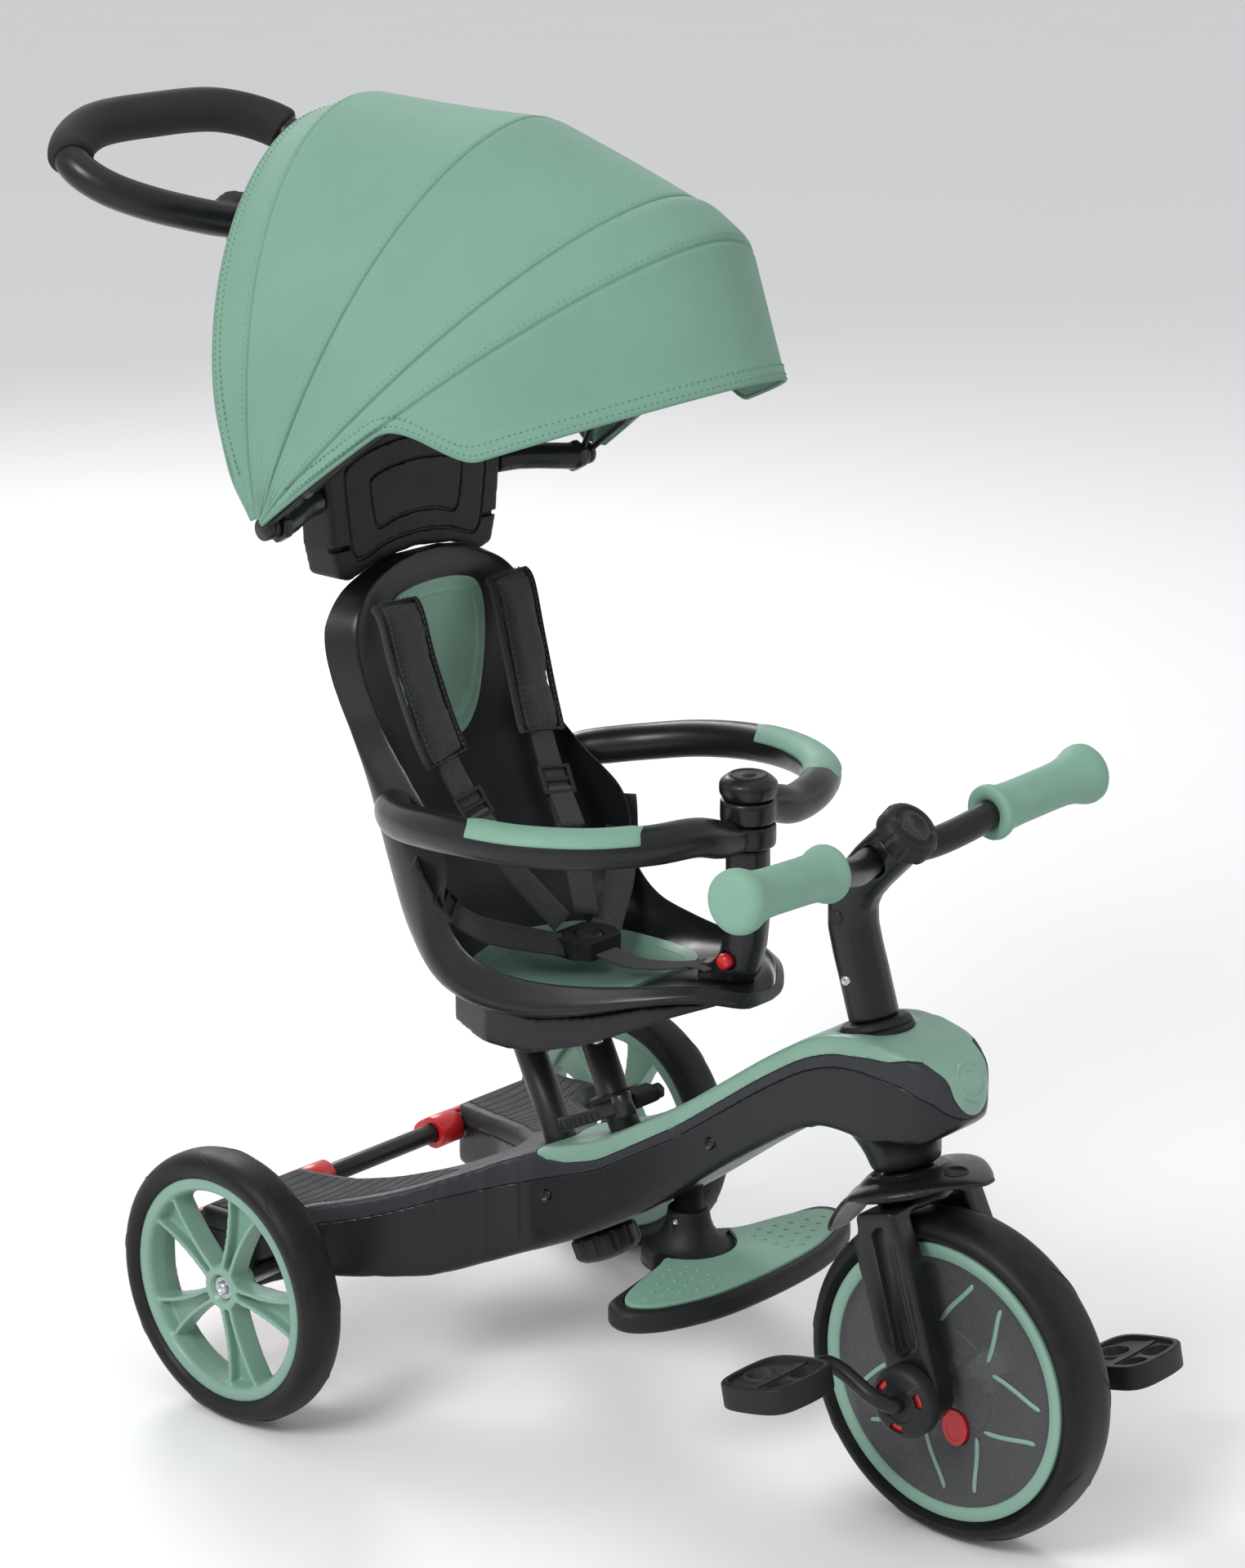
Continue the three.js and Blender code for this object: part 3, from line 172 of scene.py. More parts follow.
def math_node(tree, operation, first, second=None):
    made = node(tree, "ShaderNodeMath", operation=operation)
    for socket, value in zip(made.inputs, (first, second)):
        if isinstance(value, bpy.types.NodeSocket):
            tree.links.new(value, socket)
        elif value is not None:
            socket.default_value = value
    return made.outputs[0]


def object_space(tree):
    return node(tree, "ShaderNodeTexCoord").outputs["Object"]


def moulded(name, color, roughness, grain=0.12, grain_size=1500, coat=0.0, edge_highlight_gain=1.5, speckle=0.0):
    """Moulded plastic: fine grain, slow colour change, handling marks, and a painted highlight that makes
    convex edges paler as if they caught the light.
    """
    material, tree, shader = new_material(name)
    space = object_space(tree)
    cloud = noise(tree, space, 9, 4)
    shade = tinted(tree, color, 0.84, ramp(tree, cloud, 0, 1))
    # Painted highlight: convex edges, found by pointiness, get a paler base colour as if lit along the
    # edge.
    edges = node(tree, "ShaderNodeNewGeometry").outputs["Pointiness"]
    painted_edge_highlight = ramp(tree, edges, 0, 0.55, 0.53, 0.62)
    shade = mixed(tree, shade, [min(c * edge_highlight_gain + 0.015, 1) for c in color], painted_edge_highlight)
    if speckle:
        dots = node(tree, "ShaderNodeTexVoronoi", Scale=420.0)
        tree.links.new(space, dots.inputs["Vector"])
        light = ramp(tree, dots.outputs["Distance"], speckle, 0, 0.12, 0.3)
        shade = mixed(tree, shade, [min(c * 2.1 + 0.05, 1) for c in color], light)
    tree.links.new(shade, shader.inputs["Base Color"])
    marks = noise(tree, space, 38, 6, 0.7)
    tree.links.new(ramp(tree, marks, roughness - 0.07, roughness + 0.09), shader.inputs["Roughness"])
    fine = noise(tree, space, grain_size, 2)
    bump(tree, shader, fine, grain, 0.0004)
    shader.inputs["Coat Weight"].default_value = coat
    shader.inputs["Coat Roughness"].default_value = 0.25
    shader.inputs["Specular IOR Level"].default_value = 0.5 if max(color) > 0.1 else 0.26
    return material


def rubbery(name, color, roughness):
    """Soft rubber or foam: matte, with pores and a little dust."""
    material, tree, shader = new_material(name)
    space = object_space(tree)
    dust = noise(tree, space, 26, 5, 0.65)
    pale = [c * 0.80 + 0.020 for c in color]
    shade = mixed(tree, color, pale, ramp(tree, dust, 0, 0.5, 0.45, 0.8))
    tree.links.new(shade, shader.inputs["Base Color"])
    tree.links.new(ramp(tree, dust, roughness - 0.06, roughness + 0.12), shader.inputs["Roughness"])
    pores = noise(tree, space, 1100, 3)
    bump(tree, shader, pores, 0.25, 0.0006)
    shader.inputs["Specular IOR Level"].default_value = 0.35 if max(color) > 0.1 else 0.22
    return material


def metal(name, color, roughness, brushed=60):
    """Plated or drawn steel, with fine lines round or along the piece."""
    material, tree, shader = new_material(name)
    space = object_space(tree)
    stretch = node(tree, "ShaderNodeMapping")
    stretch.inputs["Scale"].default_value = (1, 1, 24)
    tree.links.new(space, stretch.inputs["Vector"])
    lines = noise(tree, stretch.outputs["Vector"], brushed, 4)
    tree.links.new(tinted(tree, color, 0.75, ramp(tree, lines, 0, 1)), shader.inputs["Base Color"])
    tree.links.new(ramp(tree, lines, roughness - 0.06, roughness + 0.12), shader.inputs["Roughness"])
    shader.inputs["Metallic"].default_value = 1.0
    bump(tree, shader, lines, 0.08, 0.0003)
    return material


def woven(name, color, pitch, sheen=0.35, depth=0.35, second=0.72, twill=False):
    """Cloth woven from crossing threads, laid out by UV in metres."""
    material, tree, shader = new_material(name)
    cloth = node(tree, "ShaderNodeTexCoord").outputs["UV"]
    split = node(tree, "ShaderNodeSeparateXYZ")
    tree.links.new(cloth, split.inputs[0])
    turns = 2 * math.pi / (pitch * MM)
    place = split.outputs[0]
    if twill:
        place = math_node(tree, "ADD", split.outputs[0], split.outputs[1])
    warp = math_node(tree, "SINE", math_node(tree, "MULTIPLY", place, turns))
    weft = math_node(tree, "SINE", math_node(tree, "MULTIPLY", split.outputs[1], turns))
    threads = math_node(tree, "MULTIPLY", warp, weft)
    space = object_space(tree)
    cloud = noise(tree, space, 7, 4)
    slub = noise(tree, space, 260, 3, 0.7)
    shade = tinted(tree, color, 0.86, ramp(tree, cloud, 0, 1))
    dark = [c * second for c in color]
    shade = mixed(tree, shade, dark, ramp(tree, threads, 0.5, 0, -0.6, 0.4))
    tree.links.new(shade, shader.inputs["Base Color"])
    tree.links.new(ramp(tree, slub, 0.78, 0.95), shader.inputs["Roughness"])
    height = math_node(tree, "ADD", threads, math_node(tree, "MULTIPLY", slub, 1.6))
    bump(tree, shader, height, depth, 0.0004)
    shader.inputs["Sheen Weight"].default_value = sheen
    shader.inputs["Sheen Roughness"].default_value = 0.5
    shader.inputs["Specular IOR Level"].default_value = 0.25
    return material


GREEN = (0.200, 0.352, 0.272)
SOFT_GREEN = (0.186, 0.342, 0.262)
MATERIALS = {
    "black": moulded("satin_black", (0.0085, 0.0090, 0.0108), 0.34, 0.05, 1500, 0.22, 2.0),
    "black_grained": moulded("grained_black", (0.0125, 0.0130, 0.0145), 0.48, 0.22, 1100, 0.0, 2.4),
    "charcoal": moulded("satin_charcoal", (0.030, 0.031, 0.036), 0.46, 0.2, 1300, 0, 1.5),
    "grey": moulded("mid_grey", (0.066, 0.067, 0.071), 0.52, 0.22, 1300, 0, 1.3, 0.3),
    "green": moulded("sage_plastic", GREEN, 0.40, 0.1, 1400, 0.08, 1.12),
    "red": moulded("red_plastic", (0.58, 0.012, 0.018), 0.30, 0.05, 1400, 0.2, 1.1),
    "grip": rubbery("sage_rubber", SOFT_GREEN, 0.58),
    "tread": rubbery("tread_rubber", (0.0080, 0.0080, 0.0090), 0.44),
    "foam": rubbery("charcoal_foam", (0.024, 0.024, 0.027), 0.80),
    "pad_rubber": rubbery("deck_rubber", (0.044, 0.045, 0.049), 0.70),
    "black_metal": moulded("black_powder_coat", (0.010, 0.010, 0.011), 0.36, 0.3, 2100, 0.15, 2.5),
    "steel": metal("plated_steel", (0.60, 0.61, 0.64), 0.26),
    "canopy": woven("canopy_cloth", SOFT_GREEN, 1.3, 0.10, 0.25),
    "binding": woven("binding_tape", (0.170, 0.318, 0.242), 0.9, 0.1, 0.4, 0.7, True),
    "webbing": woven("ribbed_webbing", (0.0190, 0.0190, 0.0215), 2.0, 0.2, 0.9, 0.5, True),
    "pad_cloth": woven("woven_pad", (0.0260, 0.0260, 0.0290), 1.7, 0.25, 0.8, 0.42),
    "thread": woven("sewing_thread", (0.100, 0.300, 0.190), 0.8, 0.1, 0.5),
    "dark_thread": woven("dark_thread", (0.075, 0.076, 0.082), 0.8, 0.1, 0.5),
}


# ------------------------------------------------------------------ mesh building
def finish_piece(made, body, material, stands_for=()):
    made.data.materials.clear()
    made.data.materials.append(MATERIALS[material])
    if body:
        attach(made, body)
    if stands_for:
        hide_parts(*stands_for)
    return made


def mesh_object(name, points, faces, smooth=True):
    mesh = bpy.data.meshes.new(name)
    mesh.from_pydata([tuple(p) for p in points], [], faces)
    mesh.validate()
    made = bpy.data.objects.new(name, mesh)
    scene.collection.objects.link(made)
    tools = bmesh.new()
    tools.from_mesh(mesh)
    bmesh.ops.recalc_face_normals(tools, faces=tools.faces)
    tools.to_mesh(mesh)
    tools.free()
    mesh.shade_smooth() if smooth else mesh.shade_flat()
    return made


def applied(made):
    """Bakes an object's modifiers into its mesh."""
    depsgraph = bpy.context.evaluated_depsgraph_get()
    mesh = bpy.data.meshes.new_from_object(made.evaluated_get(depsgraph))
    made.modifiers.clear()
    old = made.data
    made.data = mesh
    bpy.data.meshes.remove(old)
    return made


def bevelled(made, width=0.8, segments=2, angle=35):
    """Rounds the sharp edges of a piece."""
    modifier = made.modifiers.new("bevel", "BEVEL")
    modifier.width = width * MM
    modifier.segments = segments
    modifier.limit_method = "ANGLE"
    modifier.angle_limit = math.radians(angle)
    modifier.harden_normals = False
    return applied(made)


def carved(made, cutters, operation="DIFFERENCE"):
    """Cuts or keeps what other solids cover, and removes those solids."""
    for cutter in cutters:
        modifier = made.modifiers.new("carve", "BOOLEAN")
        modifier.operation = operation
        modifier.solver = "MANIFOLD"
        modifier.object = cutter
        applied(made)
        bpy.data.objects.remove(cutter)
    return made


def copy_of(*names):
    """A new object with the meshes of CAD nodes joined."""
    tools = bmesh.new()
    for name in names:
        tools.from_mesh(nodes[name].data)
    bmesh.ops.remove_doubles(tools, verts=tools.verts, dist=1e-6)
    mesh = bpy.data.meshes.new(names[0] + "_form")
    tools.to_mesh(mesh)
    tools.free()
    made = bpy.data.objects.new(names[0] + "_form", mesh)
    scene.collection.objects.link(made)
    return made


def softened(name, sources, voxel, passes):
    """A rounded skin over CAD nodes, as a mould gives."""
    made = copy_of(*sources)
    made.name = name
    return fused(made, voxel, passes)


def fused(made, voxel, passes):
    """Runs the parts of an object together into one rounded skin."""
    remesh = made.modifiers.new("remesh", "REMESH")
    remesh.mode = "VOXEL"
    remesh.voxel_size = voxel * MM
    smooth = made.modifiers.new("smooth", "SMOOTH")
    smooth.factor = 0.6
    smooth.iterations = passes
    applied(made)
    made.data.materials.clear()
    made.data.shade_smooth()
    return made


def curve_points(points, count, closed=False):
    """Evenly many points on a smooth curve through the given ones (rows of numbers)."""
    p = np.array(points, float)
    n = len(p)
    if closed:
        p = np.vstack([p[-1], p, p[0], p[1]])
        spans = n
    else:
        p = np.vstack([2 * p[0] - p[1], p, 2 * p[-1] - p[-2]])
        spans = n - 1
    out = []
    for t in np.linspace(0, spans, count, endpoint=not closed):
        i = min(int(t), spans - 1)
        u = t - i
        a, b, c, d = p[i], p[i + 1], p[i + 2], p[i + 3]
        out.append(0.5 * (2 * b + (c - a) * u + (2 * a - 5 * b + 4 * c - d) * u * u
                          + (3 * b - a - 3 * c + d) * u ** 3))
    return np.array(out)


def sweep(name, path, section, closed=False, up=Vector((1, 0, 0))):
    """Carries a closed section along a path of points in metres. section(t) gives (a, b) points
    in mm at a share t of the path: a along up, b along the other normal."""
    path = [Vector(p) for p in path]
    count = len(path)
    points = []
    rings = []
    for i, here in enumerate(path):
        before = path[i - 1] if i or closed else here
        after = path[(i + 1) % count] if i + 1 < count or closed else here
        run = (after - before).normalized()
        side = (up - run * up.dot(run)).normalized()
        other = run.cross(side)
        ring = []
        for a, b in section(i / max(count - 1, 1)):
            ring.append(len(points))
            points.append(here + side * a * MM + other * b * MM)
        rings.append(ring)
    faces = []
    pairs = list(zip(rings, rings[1:])) + ([(rings[-1], rings[0])] if closed else [])
    size = len(rings[0])
    for first, second in pairs:
        for j in range(size):
            k = (j + 1) % size
            faces.append((first[j], first[k], second[k], second[j]))
    if not closed:
        faces.append(tuple(reversed(rings[0])))
        faces.append(tuple(rings[-1]))
    return mesh_object(name, points, faces)


def oval(half_a, half_b, sides):
    return [(half_a * math.cos(t), half_b * math.sin(t))
            for t in np.linspace(0, 2 * math.pi, sides, False)]


def squared_oval(half_a, half_b, power_a, power_b, sides):
    """An oval drawn out towards its corners; the smaller the powers, the squarer it is."""
    points = []
    for t in np.linspace(0, 2 * math.pi, sides, False):
        a, b = math.cos(t), math.sin(t)
        points.append((math.copysign(abs(a) ** power_a, a) * half_a,
                       math.copysign(abs(b) ** power_b, b) * half_b))
    return points


def circle(radius, sides=28):
    return [(radius * math.cos(2 * math.pi * i / sides), radius * math.sin(2 * math.pi * i / sides))
            for i in range(sides)]


def pipe(name, points, radius, steps=48, sides=28, closed=False):
    """A round tube through points in mm. radius is a number, or a list along the path."""
    path = [at(*p) for p in curve_points(points, steps, closed)]
    radii = radius if isinstance(radius, (list, tuple)) else [radius, radius]
    keys = np.linspace(0, 1, len(radii))

    def section(t):
        return circle(float(np.interp(t, keys, radii)), sides)

    up = Vector((1, 0, 0))
    run = (path[-1] - path[0]) if not closed else Vector((0, 0, 1))
    if abs(run.normalized().x) > 0.8 or closed:
        up = Vector((0.02, 0.1, 1)).normalized()
    return sweep(name, path, section, closed, up)


def lathe(name, profile, centre, axis, segments=72):
    """A round body from (radius, height) points about a line; centre is in metres. A profile that
    ends where it starts gives a ring."""
    is_ring = profile[0] == profile[-1]
    if is_ring:
        profile = profile[:-1]
    turn = Vector((0, 0, 1)).rotation_difference(Vector(axis).normalized())
    points = []
    rings = []
    for radius, height in profile:
        if radius < 1e-6:
            rings.append([len(points)])
            points.append(centre + turn @ Vector((0, 0, height * MM)))
            continue
        ring = []
        for i in range(segments):
            angle = 2 * math.pi * i / segments
            ring.append(len(points))
            points.append(centre + turn @ Vector((radius * math.cos(angle) * MM,
                                                  radius * math.sin(angle) * MM, height * MM)))
        rings.append(ring)
    faces = []
    for first, second in zip(rings, rings[1:] + rings[:1] if is_ring else rings[1:]):
        for i in range(segments):
            j = (i + 1) % segments
            if len(first) == 1:
                faces.append((first[0], second[j], second[i]))
            elif len(second) == 1:
                faces.append((first[i], first[j], second[0]))
            else:
                faces.append((first[i], first[j], second[j], second[i]))
    return mesh_object(name, points, faces)


def prism(name, outline, low, high, place):
    """A slab between two levels, from a closed outline; place(a, b, level) gives a point."""
    count = len(outline)
    points = [place(a, b, low) for a, b in outline] + [place(a, b, high) for a, b in outline]
    faces = [tuple(range(count - 1, -1, -1)), tuple(range(count, 2 * count))]
    for i in range(count):
        j = (i + 1) % count
        faces.append((i, j, j + count, i + count))
    return mesh_object(name, points, faces, smooth=False)


def smooth_outline(points, count=72):
    return [tuple(p) for p in curve_points(points, count, closed=True)]


def mirrored(half):
    """A closed outline from its half, which runs from the axis round to the axis again."""
    return half + [(-x, y) for x, y in reversed(half) if x > 0]


def upward(a, b, level):
    return at(a, b, level)


def across(a, b, level):
    return at(level, a, b)


def backward(a, b, level):
    return at(a, level, b)


def screw(name, centre, axis, body, radius=4.0, material="steel", depth=2.5):
    """A round-headed screw with a hexagonal socket."""
    axis = Vector(axis).normalized()
    head = lathe(name, [(0, -1), (radius, -1), (radius, depth * 0.4), (radius * 0.72, depth),
                        (0, depth)], centre, axis, 32)
    socket = lathe(name + "_socket", [(0, depth * 0.25), (radius * 0.42, depth * 0.25),
                                      (radius * 0.42, depth + 2), (0, depth + 2)], centre, axis, 6)
    return finish_piece(carved(head, [socket]), body, material)


def moulding(name, node_name, body, material, voxel, passes):
    """A CAD node's rounded skin, which takes that node's place."""
    skin = softened(name, [node_name], voxel, passes)
    return finish_piece(skin, body, material, [node_name])


def notched(knob, count, reach, radius, height, segments, start, axis):
    """Cuts finger notches round a knob, at a reach from its axis."""
    turn = Vector((0, 0, 1)).rotation_difference(axis)
    notches = []
    for i in range(count):
        angle = 2 * math.pi * i / count
        offset = turn @ Vector((reach * math.cos(angle), reach * math.sin(angle), 0)) * MM
        notches.append(lathe("notch", [(0, -2), (radius, -2), (radius, height), (0, height)],
                             start + offset, axis, segments))
    return carved(knob, notches)


def joined(first, *others):
    """One object from several, keeping the first one's name."""
    tools = bmesh.new()
    for one in (first, *others):
        tools.from_mesh(one.data)
    tools.to_mesh(first.data)
    tools.free()
    for one in others:
        bpy.data.objects.remove(one)
    first.data.shade_smooth()
    return first


# ------------------------------------------------------------------ frame
# The frame in side view: its top and underside, and how far the tray reaches each side from y.
TOP_POINTS = [(-9, 350), (1, 364), (26, 376), (62, 381), (90, 378), (118, 367), (158, 341), (237, 283),
              (320, 232), (396, 202), (440, 182), (470, 170), (505, 160), (545, 152), (600, 149)]
UNDER_POINTS = [(14, 308), (60, 303), (112, 303), (190, 249), (271, 186), (335, 146), (392, 117),
                (440, 99), (480, 87), (600, 87)]
SIDE_POINTS = [(48, 44), (395, 44), (418, 60), (442, 98), (484, 130), (516, 152)]


def between(low, value, high):
    return min(max(value, low), high)


def faired(points, reach, start=-60, end=660):
    """A polyline with its corners eased over a distance, as closely spaced points."""
    places = np.arange(start, end + 1, 4.0)
    xs, heights = zip(*points)
    offsets = np.linspace(-reach, reach, 21)
    weights = np.cos(offsets / reach * math.pi / 2) ** 2
    rows = []
    for place in places:
        values = np.interp(place + offsets, xs, heights)
        rows.append((float(place), float(np.sum(values * weights) / np.sum(weights))))
    return rows


TOP_LINE = [(y, z) for y, z in faired(TOP_POINTS, 22) if y >= 40]
TOP_LINE = [(y, z) for y, z in TOP_POINTS if y < 30] + TOP_LINE
# How deep the dark trim reaches below the top line.
TRIM_DEPTH = [(396, 24), (440, 16), (600, 15)]
INSERT_OUTLINE = [(0, -14), (15, -9), (26, 8), (32, 42), (34, 85), (27, 130), (22, 200), (19, 300),
                  (15, 365), (8, 392), (0, 396)]
PAD_OUTLINE = [(100, 594), (90, 545), (74, 505), (52, 473), (60, 448), (92, 456), (124, 494),
               (146, 524), (176, 540), (192, 545), (192, 594)]


def line_height(line, y):
    """The second number of a line's points at y, between those given."""
    return float(np.interp(y, [p[0] for p in line], [p[1] for p in line]))


def above_line(name, drop, reach=460, half=240):
    """Everything above the top line lowered by drop(y)."""
    ys = np.linspace(-60, 660, 90)
    seam = [(y, line_height(TOP_LINE, y) - drop(y)) for y in ys]
    return prism(name, [(660, reach), (-60, reach)] + seam, -half, half, across)


def trim_drop(y):
    return line_height(TRIM_DEPTH, y)


# How far the green insert folds down over the spine's sides.
FOLD = [(18, 0), (40, 9), (70, 14), (320, 16), (352, 14), (372, 9), (382, 4), (386, 0)]


def fold_region(name, grow):
    """Where the green insert folds down over the sides of the spine."""
    ys = np.linspace(16 - grow, 386 + grow, 80)
    lower = [(y, line_height(TOP_LINE, y) - line_height(FOLD, y) - grow) for y in ys]
    return prism(name, lower + [(386 + grow, 460), (16 - grow, 460)], -80, 80, across)


def eased(piece):
    """Ease the corners that the frame's outline has in side view and from above."""
    under = faired(UNDER_POINTS, 45)
    side = faired(SIDE_POINTS, 34)
    for vertex in piece.data.vertices:
        x, y, z = (vertex.co - at(0, 0, 0)) / MM
        top_old, top_new = line_height(TOP_POINTS, y), line_height(TOP_LINE, y)
        low_old, low_new = line_height(UNDER_POINTS, y), line_height(under, y)
        fade = between(0, (y - 60) / 60, 1)
        share = between(0, (z - low_old) / max(top_old - low_old, 1), 1)
        shift = (1 - share) * (low_new - low_old) * fade + share * (top_new - top_old)
        wide = line_height(side, y) / line_height(SIDE_POINTS, y)
        reach = between(0, (abs(x) - 18) / 20, 1)
        reach *= between(0, (y - 330) / 30, 1) * between(0, (516 - y) / 40, 1)
        vertex.co = (x * (1 + (wide - 1) * reach) * MM, vertex.co.y, (z + shift) * MM)
    piece.data.update()


def frame_top_region(name, depth, grow):
    """Where the green insert lies: a skin on top of the spine and over the nose."""
    half = [(x + grow * (x > 0), y) for x, y in INSERT_OUTLINE]
    outline = smooth_outline(mirrored(half), 120)
    plan = prism(name, outline, 120, 430, upward)
    low = 331 - depth / 6
    spine = [(y, line_height(TOP_LINE, y) - depth) for y in np.linspace(depth - 8, 420, 60)]
    side = [(420, 440), (-40, 440), (-40, low), (depth - 15.5, low)] + spine
    return carved(plan, [prism("side", side, -80, 80, across)], "INTERSECT")


def duplicate(source, name):
    made = source.copy()
    made.data = source.data.copy()
    made.name = name
    scene.collection.objects.link(made)
    return made


def make_frame():
    pads = ["deck_pad_right", "deck_pad_left"]
    sources = ["frame_shell", "frame_upper_trim", "frame_top_insert", *pads]
    whole = softened("frame_shell_skin", sources, 2.4, 34)
    eased(whole)
    trim = duplicate(whole, "frame_trim_skin")
    insert = duplicate(whole, "frame_insert_skin")
    carved(whole, [above_line("above", lambda y: trim_drop(y) + 0.7)])
    carved(trim, [above_line("above", trim_drop)], "INTERSECT")
    bed = carved(frame_top_region("bed", 6.6, 0.7), [fold_region("fold", 0.7)], "UNION")
    carved(trim, [bed])
    skin = carved(frame_top_region("skin", 6, 0), [fold_region("fold", 0)], "UNION")
    carved(insert, [skin], "INTERSECT")
    beds = []
    for sign in SIDES.values():
        outline = [(sign * x, y) for x, y in PAD_OUTLINE]
        beds.append(prism("bed", outline, 143, 230, upward))
    carved(trim, [carved(bed, [above_line("band", lambda y: 3.4)], "INTERSECT") for bed in beds])
    screws = [(205, 262), (373, 172), (470, 128)]
    wells = [lathe("well", [(0, -6), (5.2, -6), (5.2, 8), (0, 8)], at(sign * 44, y, z), (sign, 0, 0), 32)
             for sign in SIDES.values() for y, z in screws]
    carved(whole, wells)
    for side, sign in SIDES.items():
        for i, (y, z) in enumerate(screws):
            screw(f"frame_screw_{side}_{i}", at(sign * 38.5, y, z), (sign, 0, 0), "frame", 3.6,
                  "black_metal")
    finish_piece(whole, "frame", "black", ["frame_shell"])
    finish_piece(trim, "frame", "charcoal", ["frame_upper_trim"])
    finish_piece(insert, "frame", "green", ["frame_top_insert"])


def make_deck_pads():
    for side, sign in SIDES.items():
        outline = [(sign * x, y) for x, y in PAD_OUTLINE]
        inner = [(x + (sign * 126 - x) * 0.012, y + (530 - y) * 0.012) for x, y in outline]
        pad = prism(f"deck_tread_{side}", inner, 143, 230, upward)
        carved(pad, [above_line("band", lambda y: 3.6)], "INTERSECT")
        carved(pad, [above_line("cap", lambda y: -0.3)])
        grooves = []
        for start in range(440, 606, 11):
            arc = []
            for x in np.linspace(44, 200, 26):
                y = start + 22 * ((x - 120) / 80) ** 2
                arc.append(at(sign * x, y, line_height(TOP_LINE, y) + 0.5))
            grooves.append(sweep("groove", arc, lambda t: circle(0.8, 8), up=Vector((0, 0, 1))))
        carved(pad, grooves)
        bevelled(pad, 0.4, 2, 40)
        finish_piece(pad, "frame", "pad_rubber", [f"deck_pad_{side}"])


def make_head():
    collar = lathe("head_ring", [(14.7, 98), (25.6, 98), (27, 99.5), (27, 102), (26, 103), (26, 105),
                                 (27, 106), (26.4, 108.6), (24, 111), (14.7, 111), (14.7, 98)],
                   on_steering(0), STEER, 96)
    finish_piece(bevelled(collar, 0.5), "frame", "black_grained", ["head_collar"])
    # A plain round plug on the nose.
    axis = Vector((0, -0.86, 0.5)).normalized()
    centre = at(0, -3.6, 354.2)
    ring = lathe("nose_plug", [(0, -6), (15, -6), (15, 1.0), (13.6, 1.6), (12.4, 0.7), (9.5, 0.7),
                               (9.1, 1.5), (7.6, 1.5), (7.2, 0.7), (0, 0.4)], centre, axis, 64)
    finish_piece(bevelled(ring, 0.25), "frame", "green", ())


def make_lock_knob():
    tilt = math.radians(27)
    axis = Vector((0, -math.sin(tilt), -math.cos(tilt)))
    start = at(0, 352, line_height([(335, 146), (392, 117)], 352))
    body = lathe("lock_knob_skin", [(0, -18), (9, -18), (9, 1.5), (25, 2), (27, 4), (27, 16), (25.5, 19),
                                    (21, 22), (12, 24), (11, 22.8), (0, 22.8)], start, axis, 96)
    notched(body, 12, 28.5, 3.2, 30, 20, start, axis)
    finish_piece(bevelled(body, 0.6), "lock_knob", "black_grained", ["frame_lock_knob"])


FOOTREST_BASE = [(0, 170), (60, 174), (104, 188), (126, 205), (130, 222), (120, 236), (92, 243),
                 (55, 252), (30, 270), (0, 277)]
FOOTREST_PAD = [(0, 178), (58, 182), (99, 195), (115, 208), (118, 219), (109, 229), (86, 238),
                (52, 247), (38, 252), (24, 246), (0, 240)]


def make_footrest():
    plate = prism("footrest_plate", smooth_outline(mirrored(FOOTREST_BASE), 140), 134, 152, upward)
    bevelled(plate, 5.5, 5, 50)
    wider = [(x * 1.012, 210 + (y - 210) * 1.03) for x, y in FOOTREST_PAD]
    pad_room = prism("room", smooth_outline(mirrored(wider), 140), 149.2, 160, upward)
    post = at(0, FOOTREST_POST_Y, 0)
    cone = lathe("cone", [(0, 138), (37, 138), (36, 150), (30, 152.5), (25, 157), (20, 164),
                          (17.5, 171), (16.4, 178), (16, 181), (14, 182), (11.2, 182), (11.2, 203),
                          (0, 203)], post, (0, 0, 1), 80)
    carved(plate, [pad_room])
    carved(plate, [cone], "UNION")
    hole = lathe("hole", [(0, -30), (3.4, -30), (3.4, 6), (0, 6)], at(-17, FOOTREST_POST_Y, 173),
                 (-1, 0, 0), 32)
    carved(plate, [hole])
    finish_piece(plate, "frame", "black_grained", ["footrest_base"])
    screw("footrest_bolt", at(-14.6, FOOTREST_POST_Y, 173), (-1, 0, 0), "frame", 3.0, "steel", 1.2)
    pad = prism("footrest_tread", smooth_outline(mirrored(FOOTREST_PAD), 140), 149.6, 154, upward)
    carved(pad, [lathe("room", [(0, 130), (37.6, 130), (37.6, 180), (0, 180)], post, (0, 0, 1), 80)])
    bevelled(pad, 1.6, 4, 50)
    finish_piece(pad, "frame", "grip", ["footrest_pad"])
    dots = []
    for x in np.arange(-104, 105, 13.0):
        for y in np.arange(191, 240, 11.0):
            y = y + (5.5 if round((x + 104) / 13) % 2 else 0)
            front = float(np.interp(abs(x), [0, 58, 99, 115], [184, 189, 201, 214]))
            back = float(np.interp(abs(x), [0, 30, 42, 86, 115], [214, 220, 238, 232, 214]))
            if front < y < back and abs(x) > 34:
                dots.append(lathe("dot", [(0, -0.5), (2.2, -0.5), (1.9, 0.35), (1.1, 0.75), (0, 0.85)],
                                  at(x, y, 154), (0, 0, 1), 14))
    made = joined(*dots)
    made.name = "footrest_dots"
    finish_piece(made, "frame", "grip", ())


